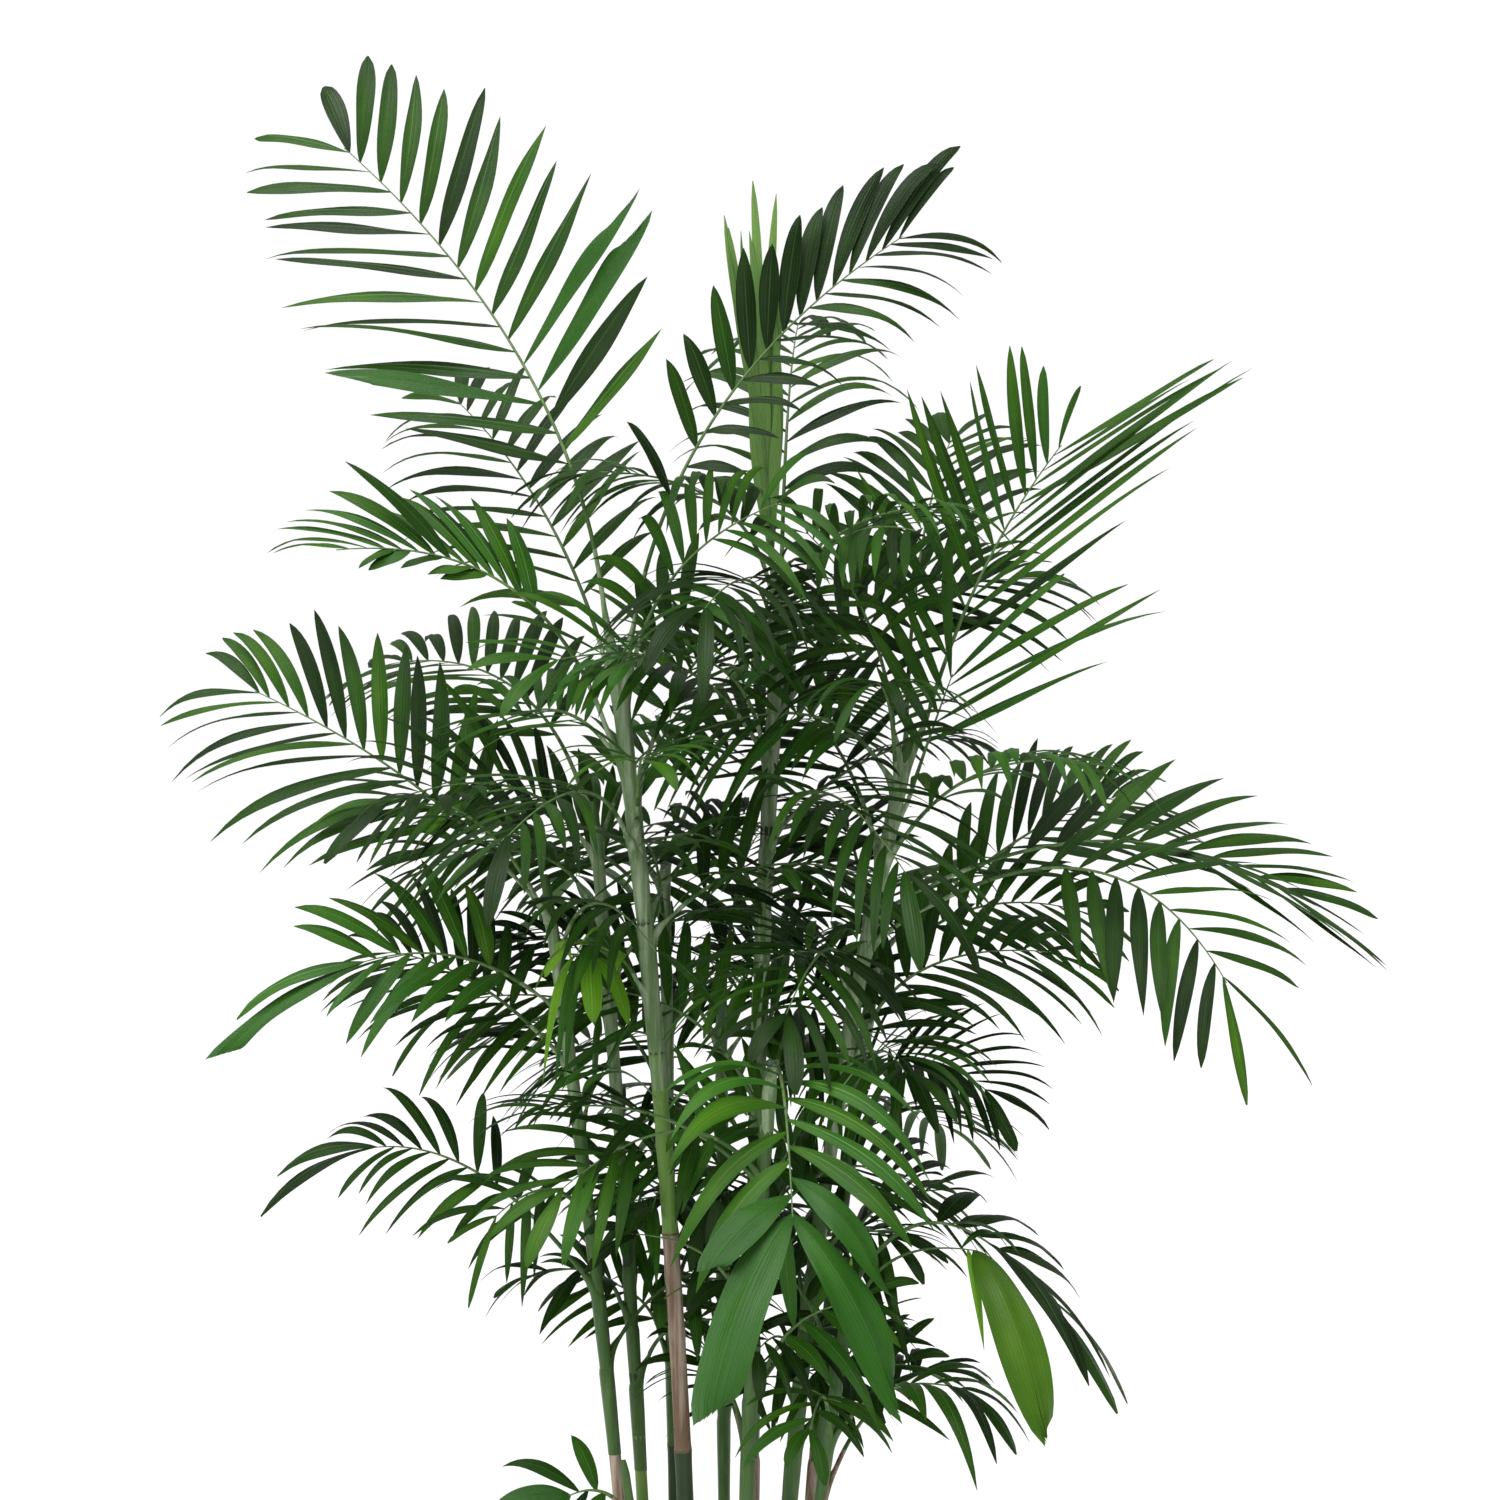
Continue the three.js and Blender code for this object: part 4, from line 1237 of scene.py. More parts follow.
@dataclass(frozen=True)
class Growth:
    """The rule that all fronds grow by: how leaflets are spaced, shaped and kept apart, and how ribs run.

    The stray values say how far a leaflet may differ from its neighbours. The tries are the lifts and the
    shares of its length that a leaflet goes through until it touches nothing. outlines are those of narrow
    and of broad leaflets, before and in the last pair: the power by which one widens from its foot, and those
    by which it narrows to its tip at the frond's foot and at its tip; a low one gives a blunt tip.
    """

    foot_depth: float = 0.0043
    sag_power: float = 2.2
    crowding: float = 0.92
    broader: float = 1.3
    fullness: Triple = (0.85, 0.25, 0.2)
    terminal_fullness: Pair = (1.15, 1.5)
    terminal_room: float = 1.1
    length_curve: tuple[float, ...] = (0.74, 1.25, -2.1, 0.65)
    terminal_share: float = 0.55
    stray_spread: float = 2.0
    stray_lift: float = 7.0
    stray_length: float = 0.05
    stray_droop: float = 0.35
    stray_twist: float = 22.0
    seed_stretch: int = 101
    cane_seeds: tuple[int, int] = (10, 40)
    inner_seeds: int = 1000
    lift_tries: tuple[float, ...] = (0, 6, -6, 12, -12, 18, -18, 27, -27)
    length_tries: tuple[float, ...] = (1.0, 0.85, 0.7)
    broad_from: float = 0.030
    swell_power: float = 7.0
    light_turn: Pair = (0.48, 0.14)
    natural_face: float = 65.0
    hook: Pair = (0.10, 0.07)
    hook_power: float = 5.0
    full_droop: float = 0.16
    curve: Pair = (0.05, 0.06)
    outlines: tuple[tuple[Triple, Triple], ...] = (
        ((0.72, 0.95, 0.5), (0.8, 0.45, 0.45)), ((0.85, 0.45, 0.45), (0.8, 0.33, 0.33)))
    lighter_above: float = 0.55
    darker_below: float = -0.6
    box_stops: tuple[float, ...] = (0.06, 0.3, 0.55, 0.8, 1.0)
    box_widths: tuple[float, ...] = (0.38, 0.5, 0.48, 0.3)
    box_depth: float = 0.0012
    rib_room: float = 0.0028
    rib_box_ends: int = 13
    rib_radii: Pair = (0.0033, 0.0006)
    rib_thinning: float = 0.7
    sheath_gaps: Pair = (0.0006, 0.0019)
    mouth_drop: float = 0.022
    mouth_rise: float = 0.030
    mouth_haste: float = 1.05
    sheath_stops: tuple[float, float, int] = (0.0, 1.0, 9)
    mouth_stops: tuple[float, float, int] = (0.12, 1.0, 8)
    rib_stops: tuple[float, float, int] = (0.13, 1.0, 30)
    petiole_start: float = 0.1
    clasp_end: float = 0.2
    pale_above: float = 0.9
    green_above: float = 0.53


GROWTH = Growth()
BROAD_TONES = {LeafTone.LIME: LeafTone.BROAD_LIGHT, LeafTone.DARK: LeafTone.BROAD_DARK}


@dataclass(frozen=True)
class Leaflet:
    """One leaflet: where it starts, how it runs, its size, its outline and its colour."""

    root: Array
    way: Array
    far: Array
    sag: Array
    bend: Array
    hook: Array
    length: float
    width: float
    twist: float
    outline: Pair
    seed: float
    tone: LeafTone

    def at(self, share: float) -> Array:
        """Finds the midrib's point at a share of the length.

        Args:
            share: The share, from 0 to 1.

        Returns:
            The point.
        """
        curve = (self.way * share + self.sag * share ** GROWTH.sag_power + self.bend * share ** 2
                 + self.hook * share ** GROWTH.hook_power)
        return self.root + self.length * curve

    def boxes(self) -> list[Box]:
        """Wraps the leaflet in slender boxes, from just off the rib to its tip.

        Returns:
            The boxes.
        """
        stops, face = GROWTH.box_stops, np.cross(self.way, self.far)
        return [stretch_box(self.at(low), self.at(high), face, self.width * width, GROWTH.box_depth)
                for low, high, width in zip(stops, stops[1:], GROWTH.box_widths)]


@dataclass
class Frond:
    """A frond: its rib is a curve in one upright plane, and its leaflets stand alternately on two sides."""

    cane: Cane
    plan: FrondPlan
    index: int
    start: Array = field(init=False)
    bend: Array = field(init=False)
    end: Array = field(init=False)

    def __post_init__(self) -> None:
        """Works out the rib's three guide points."""
        plan = self.plan
        axis = self.cane.at(plan.height)
        out = heading(plan.azimuth, 0)
        self.start = axis + out * (self.cane.radius(plan.height) + GROWTH.foot_depth)
        self.end = axis + out * plan.reach + UP * plan.rise
        launch = heading(plan.azimuth, plan.launch)
        self.bend = self.start + launch * math.hypot(plan.reach, plan.rise) * plan.pull

    @property
    def is_packed(self) -> bool:
        """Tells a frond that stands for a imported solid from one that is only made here."""
        return self.index < len(FRONDS[self.cane.name])

    @property
    def name(self) -> str:
        """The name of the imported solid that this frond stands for."""
        return f"frond_{self.cane.name}_{self.index + 1}"

    @property
    def seed(self) -> int:
        """Finds the frond's place in the row of repeatable numbers.

        Returns:
            The place; inner fronds have a row of their own.
        """
        packed, more = (self.cane.number * step for step in GROWTH.cane_seeds)
        inner = self.index - len(FRONDS[self.cane.name])
        return packed + self.index if inner < 0 else GROWTH.inner_seeds + more + inner

    def at(self, t: float) -> Array:
        """Returns the rib's point at a share of its run."""
        return (1 - t) ** 2 * self.start + 2 * t * (1 - t) * self.bend + t ** 2 * self.end

    def frame(self, t: float) -> tuple[Array, Array, Array]:
        """Finds how the blade lies at a place on the rib.

        Args:
            t: The share of the rib's run.

        Returns:
            The ways forward along the rib, out of the blade's upper side, and to its right.
        """
        forward = unit(mix(self.bend - self.start, self.end - self.bend, t))
        face = heading(*(self.plan.facing or (self.plan.azimuth + 180, GROWTH.natural_face)))
        upper = unit(face - forward * np.dot(face, forward))
        return forward, upper, np.cross(forward, upper)

    def joint(self, i: int) -> float:
        """Returns where joint number i of the leafy stretch lies."""
        bare = self.plan.petiole
        return bare + (1 - bare) * (i / (2 * self.plan.pairs - 1)) ** self.plan.gather

    def rib_boxes(self) -> list[Box]:
        """Keeps other fronds' leaflets off the rib.

        Returns:
            The boxes, from the cane out.
        """
        steps = np.linspace(0, 1, GROWTH.rib_box_ends)
        return [stretch_box(self.at(low), self.at(high), self.frame(low)[1], GROWTH.rib_room, GROWTH.rib_room)
                for low, high in zip(steps, steps[1:])]

    def rib_radius(self, t: float) -> float:
        """Returns the rib's radius, which thins quickly past the petiole."""
        return mix(*GROWTH.rib_radii, t ** GROWTH.rib_thinning)

    def path(self, sheath: float) -> TubePath:
        """Returns the sheath, petiole and rib as one tube path.

        Args:
            sheath: How long the sheath round the cane is.

        Returns:
            The path, from the sheath's foot to the rib's tip.
        """
        cane, height, rule = self.cane, self.plan.height, GROWTH
        mouth = height - rule.mouth_drop
        clasp = (StemTone.SHEATH if height > rule.pale_above else
                 StemTone.PETIOLE if height > rule.green_above else StemTone.DRY)
        face = -heading(self.plan.azimuth, 0)
        stops = []
        for share in np.linspace(*rule.sheath_stops):
            z = mix(height - sheath, mouth, share)
            stops.append((cane.at(z), cane.radius(z) + mix(*rule.sheath_gaps, ease(share)), face, clasp))
        wide, thin = cane.radius(mouth) + rule.sheath_gaps[1], self.rib_radius(rule.petiole_start)
        for share in np.linspace(*rule.mouth_stops):
            middle = mix(cane.at(mouth + rule.mouth_rise * share), self.at(rule.petiole_start * share),
                         ease(share * rule.mouth_haste))
            stops.append((middle, mix(wide, thin, ease(share)), face, clasp))
        for t in np.linspace(*rule.rib_stops):
            band = (clasp if t < rule.clasp_end else
                    StemTone.PETIOLE if t < self.plan.petiole else StemTone.RIB)
            stops.append((self.at(t), self.rib_radius(t), self.frame(t)[1], band))
        return TubePath(*map(np.array, zip(*stops)))

    def length_share(self, along: float, is_right: bool) -> float:
        """Works out how long a leaflet is; the length usually peaks a third of the way along.

        Args:
            along: Its place along the leafy stretch, from 0 to 1.
            is_right: Whether it stands on the right side.

        Returns:
            Its length as a share of the longest.
        """
        run = along * self.plan.late + (self.plan.late < 0)
        curve = sum(term * run ** power for power, term in enumerate(GROWTH.length_curve))
        return curve * self.plan.sides[is_right]

    def tone(self, seed: float, width: float) -> LeafTone:
        """Picks a leaflet's colour: mostly the frond's own, or one that is kept for broad leaflets.

        Args:
            seed: Makes its choice its own.
            width: Its width.

        Returns:
            The colour.
        """
        own = self.plan.tone
        if width > GROWTH.broad_from:
            return BROAD_TONES.get(own, LeafTone.BROAD)
        if own is LeafTone.SPEAR:
            return own
        chance = wander(seed + 0.53)
        step = (chance > GROWTH.lighter_above) - (chance < GROWTH.darker_below)
        return LeafTone(min(max(LeafTone.FRESH, own), max(LeafTone.DARK, own + step)))

    def shape(self, number: int, is_right: bool, lift: float, share: float) -> Leaflet:
        """Works out one leaflet.

        Args:
            number: The pair's number along the rib.
            is_right: Whether it stands on the right side.
            lift: Extra lift out of the blade.
            share: The share of its full length that it keeps.

        Returns:
            The leaflet.
        """
        plan, rule = self.plan, GROWTH
        last = number == plan.pairs - 1
        along = number / (plan.pairs - 1)
        seed = self.seed * rule.seed_stretch + number * 2 + is_right
        first = 2 * number if last else 2 * number + is_right
        t = (self.joint(first) + self.joint(first + 1)) / 2
        forward, upper, across = self.frame(t)
        side = across if is_right else -across
        spread = plan.fork if last else mix(*plan.spread, along) + plan.skew * (-1 if is_right else 1)
        spread = math.radians(spread + (not last) * rule.stray_spread * plan.wild * wander(seed))
        raised = math.radians(plan.lift + rule.stray_lift * plan.wild * wander(seed + 0.37) + lift)
        way = side * math.cos(raised) + upper * math.sin(raised)
        way = way * math.sin(spread) + forward * math.cos(spread)
        full = plan.leaflet * (1 + rule.stray_length * plan.wild * wander(seed + 0.71)) * share
        length = full * (rule.terminal_share * plan.terminal if last else self.length_share(along, is_right))
        width = self.leaflet_width(last, along, length, spread)
        far = unit(forward - way * np.dot(forward, way))
        level = UP - way * np.dot(UP, way)
        turn = rule.light_turn[0] + rule.light_turn[1] * wander(seed + 0.61)
        face = unit(np.cross(way, far if is_right else -far) * (1 - turn) + level * turn)
        hook = (rule.hook[0] + rule.hook[1] * wander(seed + 0.83)) * np.linalg.norm(level)
        hook *= min(1.0, plan.droop / rule.full_droop)
        return Leaflet(
            root=self.at(t), way=way, far=np.cross(face, way),
            sag=-UP * plan.droop * (1 + rule.stray_droop * wander(seed + 0.13)),
            bend=far * (rule.curve[0] + rule.curve[1] * wander(seed + 0.29)), hook=-UP * hook,
            length=length, width=width, twist=math.radians(rule.stray_twist * wander(seed + 0.47)),
            outline=self.outline(last, along, width), seed=seed, tone=self.tone(seed, width))

    @staticmethod
    def outline(last: bool, along: float, width: float) -> Pair:
        """Returns the powers by which a leaflet of the last or another pair widens and narrows."""
        rise, *falls = GROWTH.outlines[width > GROWTH.broad_from][last]
        return rise, mix(*falls, along ** 2)

    def leaflet_width(self, last: bool, along: float, length: float, spread: float) -> float:
        """Returns a leaflet's width, never so broad that it meets its neighbour.

        Args:
            last: Whether it belongs to the last pair.
            along: Its place along the leafy stretch, from 0 to 1.
            length: Its length.
            spread: Its angle to the rib, in radians.

        Returns:
            The width.
        """
        plan, rule = self.plan, GROWTH
        if last:
            fuller = mix(*rule.terminal_fullness, min(1.0, plan.terminal - 1))
            return min(plan.width * fuller * plan.terminal * plan.broad,
                       rule.terminal_room * length * math.sin(spread))
        least, more, start = rule.fullness
        fuller = least + more * math.sin(math.pi * min(1.0, start + along))
        spacing = math.hypot(plan.reach, plan.rise) * (1 - plan.petiole) / (plan.pairs - 0.5)
        swollen = 1 + plan.swell * along ** rule.swell_power
        room = rule.crowding * plan.dense * spacing * abs(math.sin(spread))
        return swollen * min(plan.width * rule.broader * fuller, room)

    def leaflets(self, thicket: Thicket) -> list[Leaflet]:
        """Grows the leaflets that find room; each is raised, lowered or shortened until it does.

        Args:
            thicket: The space that is taken; the new leaflets are added to it.

        Returns:
            The leaflets.
        """
        grown = []
        owner = self.seed if self.plan.tone is LeafTone.SPEAR else NOBODY
        for number in range(self.plan.pairs):
            pair = [self.free_leaflet(number, is_right, thicket) for is_right in (False, True)]
            found = [leaflet for leaflet in pair if leaflet]
            for leaflet in found:
                thicket.add(leaflet.boxes(), owner)
            grown.extend(found)
        return grown

    def free_leaflet(self, number: int, is_right: bool, thicket: Thicket) -> Leaflet | None:
        """Looks for the first way of growing a leaflet that touches nothing.

        Args:
            number: The pair's number along the rib.
            is_right: Whether it stands on the right side.
            thicket: The space that is taken.

        Returns:
            The leaflet, or None where it finds no room.
        """
        for share in GROWTH.length_tries:
            for lift in GROWTH.lift_tries:
                leaflet = self.shape(number, is_right, lift, share)
                if not any(thicket.touches(box, self.seed) for box in leaflet.boxes()):
                    return leaflet
        return None


# Geometry Nodes


MESH = {"Geometry": "Geometry"}


class TubeGrower:
    """Geometry Nodes that run a tube along each path, with a colour for each band of it."""

    def __init__(self, palette: Palette, between: Finish) -> None:
        """Builds the tree.

        Args:
            palette: Where the materials come from.
            between: The finish of the faces that join two bands.
        """
        bench, given = start_tree("tube along a path", "Geometry", MESH | {"Sides": "Int"}, MESH)
        curve = bench.wire("GeometryNodeMeshToCurve", {"Mesh": given["Geometry"]})
        curve = bench.wire("GeometryNodeSetCurveNormal", {
            "Curve": curve, "Normal": bench.read("uppers", "FLOAT_VECTOR")}, mode="FREE")
        profile = bench.wire("GeometryNodeCurvePrimitiveCircle", {
            "Resolution": given["Sides"], "Radius": 1.0})
        mesh = bench.wire("GeometryNodeCurveToMesh", {
            "Curve": curve, "Profile Curve": profile, "Scale": bench.read("radii"), "Fill Caps": True})
        mesh = bench.step("RealizeInstances", bench.step("SetShadeSmooth", mesh))
        mesh = bench.step("SetMaterial", mesh, {"Material": palette(between)})
        mesh = bench.paint(mesh, bench.read("bands", "INT"), palette.all(STEM_FINISHES))
        self.tree = bench.end({"Geometry": mesh})

    def run(self, name: str, paths: Sequence[TubePath], sides: int) -> Object:
        """Makes one piece of several tubes.

        Args:
            name: The piece's name.
            paths: The paths.
            sides: How many sides a tube has.

        Returns:
            The piece.
        """
        edges, first = [], 0
        for path in paths:
            edges.extend((first + i, first + i + 1) for i in range(len(path.points) - 1))
            first += len(path.points)
        host = new_mesh(name, np.vstack([path.points for path in paths]), edges=edges)
        for label, kind in (("radii", "FLOAT"), ("uppers", "FLOAT_VECTOR"), ("bands", "INT")):
            note(host, label, kind, np.concatenate([getattr(path, label) for path in paths]))
        return grow(name, host, self.tree, {"Sides": sides})


@dataclass(frozen=True)
class BladeMesh:
    """A blade's rows of points and points a row, its fold as a share of half the width, and its cut tip.

    teeth is how deep the tip is cut, as a share of the length.
    """

    along: int
    across: int
    fold: float
    teeth: float = 0.0


NARROW = BladeMesh(13, 5, 0.24)
BROAD = BladeMesh(27, 17, 0.12, 0.13)


@dataclass
class BladeGrower:
    """Geometry Nodes that grow a folded, tapering blade at each leaflet's root.

    foot and tip keep the ends of a blade from being quite sharp. Teeth have a pitch and a slant across the
    blade, and start late along it, by a power. ripple is the height of the folds beside the midrib, and
    waves run along both edges.
    """

    palette: Palette
    foot: float = 0.012
    tip: float = 0.996
    tooth_pitch: float = 4.3
    tooth_slant: float = 0.9
    tooth_power: float = 6.0
    ripple: float = 0.045
    waves: float = 8.0
    wave_slant: float = 2.0
    wave_height: float = 0.1
    vectors: tuple[str, ...] = ("root", "way", "far", "sag", "bend", "hook")
    numbers: tuple[str, ...] = ("length", "width", "rise", "fall", "twist", "seed")
    tree: NodeTree = field(init=False)

    def __post_init__(self) -> None:
        """Builds the tree."""
        bench, given = start_tree("leaflet blades", "Geometry", MESH | {
            "Along": "Int", "Across": "Int", "Fold": "Float", "Teeth": "Float"}, MESH)
        grid = bench.wire("GeometryNodeMeshGrid", {
            "Size X": 1.0, "Size Y": 2.0, "Vertices X": given["Along"], "Vertices Y": given["Across"]})
        grid = bench.step("StoreNamedAttribute", grid, {
            "Name": GROWN + "blade", "Value": bench.wire("GeometryNodeInputPosition")},
            data_type="FLOAT_VECTOR", domain="POINT")
        blades = bench.wire("GeometryNodeInstanceOnPoints", {"Points": given["Geometry"], "Instance": grid})
        blades = bench.step("RealizeInstances", blades)
        spot = bench.place("ShaderNodeSeparateXYZ", {"Vector": bench.read("blade", "FLOAT_VECTOR")}).outputs
        along, across = Wire(spot["X"]) + 0.5, Wire(spot["Y"])
        position = self.position(bench, along, across, given["Fold"], given["Teeth"])
        blades = bench.step("SetPosition", blades, {"Position": position})
        flat = bench.wire("ShaderNodeCombineXYZ", {"X": across * 0.5 + 0.5, "Y": along})
        blades = bench.step("StoreNamedAttribute", blades, {"Name": "UVMap", "Value": flat},
                            data_type="FLOAT2", domain="CORNER")
        blades = bench.step("SetShadeSmooth", blades)
        blades = bench.paint(blades, bench.read("tone", "INT"), self.palette.all(LEAF_FINISHES))
        self.tree = bench.end({"Geometry": blades})

    def position(self, bench: Bench, along: Wire, across: Wire, fold: Wire, teeth: Wire) -> Wire:
        """Lays a flat blade along its leaflet.

        Args:
            bench: The tree's bench.
            along: How far up the blade a point lies, from 0 to 1.
            across: How far to the side it lies, from -1 to 1.
            fold: How high the midrib stands.
            teeth: How deep the tip is cut.

        Returns:
            Where the point lies on the bent, folded and twisted blade.
        """
        root, way, far, sag, bend, hook = (bench.read(name, "FLOAT_VECTOR") for name in self.vectors)
        length, width, rise, fall, twist, seed = (bench.read(name) for name in self.numbers)
        aside = across.do("ABSOLUTE")
        taper = (along + self.foot) ** rise * (along * -self.tip + 1.0) ** fall
        half = taper * width * 0.5
        ragged = (across * self.tooth_pitch + seed).do("PINGPONG", 0.5) - across * self.tooth_slant
        tooth = ragged * teeth * along ** self.tooth_power
        spine = (root + way * (length * (along + tooth)) + sag * (length * along ** GROWTH.sag_power)
                 + bend * (length * along ** 2.0) + hook * (length * along ** GROWTH.hook_power))
        face = way.do("CROSS_PRODUCT", far)
        angle = twist * along
        turn, lean = angle.do("COSINE"), angle.do("SINE")
        side = far * turn + face * lean
        normal = face * turn - far * lean
        crease = (aside * -1.0 + 1.0) * fold
        ripple = (across * math.tau).do("COSINE") * self.ripple
        wave = (along * self.waves + seed + across * self.wave_slant).do("SINE") * aside * self.wave_height
        return spine + side * (across * half) + normal * (half * (crease + ripple + wave))

    def run(self, name: str, leaflets: Sequence[Leaflet], blade: BladeMesh) -> Object:
        """Makes one piece of several leaflets.

        Args:
            name: The piece's name.
            leaflets: The leaflets.
            blade: What each blade is made of.

        Returns:
            The piece.
        """
        host = new_mesh(name, np.array([leaflet.root for leaflet in leaflets]))
        for label in self.vectors:
            note(host, label, "FLOAT_VECTOR", [getattr(leaflet, label) for leaflet in leaflets])
        sizes = [(one.length, one.width / self.peak(*one.outline), *one.outline, one.twist, one.seed)
                 for one in leaflets]
        for label, values in zip(self.numbers, zip(*sizes)):
            note(host, label, "FLOAT", values)
        note(host, "tone", "INT", [leaflet.tone for leaflet in leaflets])
        return grow(name, host, self.tree, {
            "Along": blade.along, "Across": blade.across, "Fold": blade.fold, "Teeth": blade.teeth})

    @staticmethod
    def peak(rise: float, fall: float) -> float:
        """Returns the greatest value of share ** rise * (1 - share) ** fall."""
        at = rise / (rise + fall)
        return at ** rise * (1 - at) ** fall


class ScatterGrower:
    """Geometry Nodes that strew copies of a chip over a surface, on whatever faces up at least LEVEL."""

    LEVEL = 0.6
    TILT = 0.5

    def __init__(self) -> None:
        """Builds the tree."""
        bench, given = start_tree("strewn chips", "Geometry", MESH | {
            "Chip": "Object", "Density": "Float", "Smallest": "Float", "Largest": "Float", "Seed": "Int",
            "Material": "Material"}, MESH)
        seed = {"Seed": given["Seed"]}
        up = bench.wire("GeometryNodeInputNormal")
        level = bench.wire("ShaderNodeSeparateXYZ", {"Vector": up}, "Z").do("GREATER_THAN", self.LEVEL)
        points = bench.wire("GeometryNodeDistributePointsOnFaces", {
            "Mesh": given["Geometry"], "Selection": level, "Density": given["Density"], **seed})
        turn = bench.wire("FunctionNodeRandomValue", {
            "Min": (-self.TILT, -self.TILT, 0.0), "Max": (self.TILT, self.TILT, math.tau), **seed},
            data_type="FLOAT_VECTOR")
        size = bench.wire("FunctionNodeRandomValue", {
            "Min": given["Smallest"], "Max": given["Largest"], **seed}, data_type="FLOAT")
        chip = bench.wire("GeometryNodeObjectInfo", {"Object": given["Chip"]}, "Geometry")
        strewn = bench.wire("GeometryNodeInstanceOnPoints", {
            "Points": points, "Instance": chip, "Rotation": turn, "Scale": size})
        strewn = bench.step("RealizeInstances", strewn)
        strewn = bench.step("SetMaterial", strewn, {"Material": given["Material"]})
        self.tree = bench.end({"Geometry": strewn})


# Sub-assemblies


@dataclass
class Assembly:
    """A sub-assembly, which takes its materials from the palette."""

    palette: Palette


@dataclass
class Pot(Assembly):
    """A plain nursery pot with a rolled rim and a shallow step under it.

    A round is a row of points in from the edge that it rounds: how far in, and how far up or down.
    """

    wall: float = 0.005
    floor: float = 0.008
    rim_out: float = 0.009
    rim_depth: float = 0.034
    foot_radius: float = 0.126
    foot_round: tuple[Pair, ...] = ((0.004, 0.0), (0.0012, 0.0008), (0.0, 0.003))
    wall_ends: Pair = (0.01, 0.002)
    step_out: float = 0.0008
    step_round: tuple[Pair, ...] = ((0.004, 0.0006), (0.0022, 0.002), (0.0016, 0.006))
    band_end: Pair = (0.0003, 0.008)
    lip: float = 0.0048
    lip_turns: tuple[int, ...] = (0, 20, 40, 60, 80, 90)
    mouth_round: tuple[Pair, ...] = ((0.002, 0.0), (0.0006, 0.0006), (0.0, 0.002))
    band_shares: tuple[float, ...] = (0.3, 0.6, 1.0)
    inside_ends: Pair = (0.004, 0.02)
    wall_rows: int = 12
    inside_rows: int = 8
    floor_in: float = 0.003
    sides: int = 144

    def build(self) -> None:
        """Builds and dresses the pot."""
        low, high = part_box("pot")
        height = high.z
        rim = (high.x - low.x) / 2
        top = rim - self.rim_out
        step = height - self.rim_depth

        def wall_at(z: float) -> float:
            """Returns the outer wall's radius at a height."""
            return mix(self.foot_radius, top, z / height)

        start, end = self.wall_ends
        band_in, band_up = self.step_round[-1]
        end_in, end_down = self.band_end
        inner, lip = top - self.wall, self.lip
        above_floor, below_rim = self.inside_ends
        profile = [
            (0.0, 0.0),
            *((self.foot_radius - inset, z) for inset, z in self.foot_round),
            *((wall_at(z), z) for z in np.linspace(start, step - end, self.wall_rows)),
            (wall_at(step) + self.step_out, step),
            *((rim - inset, step + rise) for inset, rise in self.step_round),
            *((mix(rim - band_in, rim - end_in, share), mix(step + band_up, height - end_down, share))
              for share in self.band_shares),
            *((rim - lip + lip * math.cos(turn), height - lip + lip * math.sin(turn))
              for turn in np.radians(self.lip_turns)),
            *((inner + outset, height - drop) for outset, drop in self.mouth_round),
            *((wall_at(z) - self.wall, z) for z in np.linspace(
                height - below_rim, self.floor + above_floor, self.inside_rows)),
            (wall_at(self.floor) - self.wall - self.floor_in, self.floor),
            (0.0, self.floor)]
        mesh = lathe("pot_shell", profile, self.sides)
        mesh.materials.append(self.palette(POT))
        fit(place_object("pot_shell", mesh), "pot", ["pot"])


@dataclass(frozen=True)
class Flake:
    """What is strewn on the bed: its piece, finish, half sizes, number to the square metre, and seed."""

    name: str
    finish: Finish
    sizes: Triple
    density: float
    seed: int
    corners: int = 6
    shoulder: float = 0.5
    strays: Pair = (0.25, 0.5)

    def mesh(self) -> Mesh:
        """Makes one rough flake of a few faces.

        Returns:
            Its mesh.
        """
        out, deep, thick = self.sizes
        places = [(0.0, 0.0, -thick)]
        for level in (-self.shoulder, self.shoulder):
            for i in range(self.corners):
                turn = math.tau * i / self.corners
                stray = 1 + self.strays[0] * wander(self.seed + i + level)
                rise = 1 + self.strays[1] * wander(self.seed + i * 3 + level)
                places.append(
                    (out * math.cos(turn) * stray, deep * math.sin(turn) * stray, level * thick * rise))
        places.append((0.0, 0.0, thick))
        ring, last, faces = self.corners, len(places) - 1, []
        for i in range(ring):
            low, next_low = 1 + i, 1 + (i + 1) % ring
            faces += [(0, next_low, low), (low, next_low, ring + next_low, ring + low),
                      (ring + low, ring + next_low, last)]
        return new_mesh("chip", np.array(places), faces)


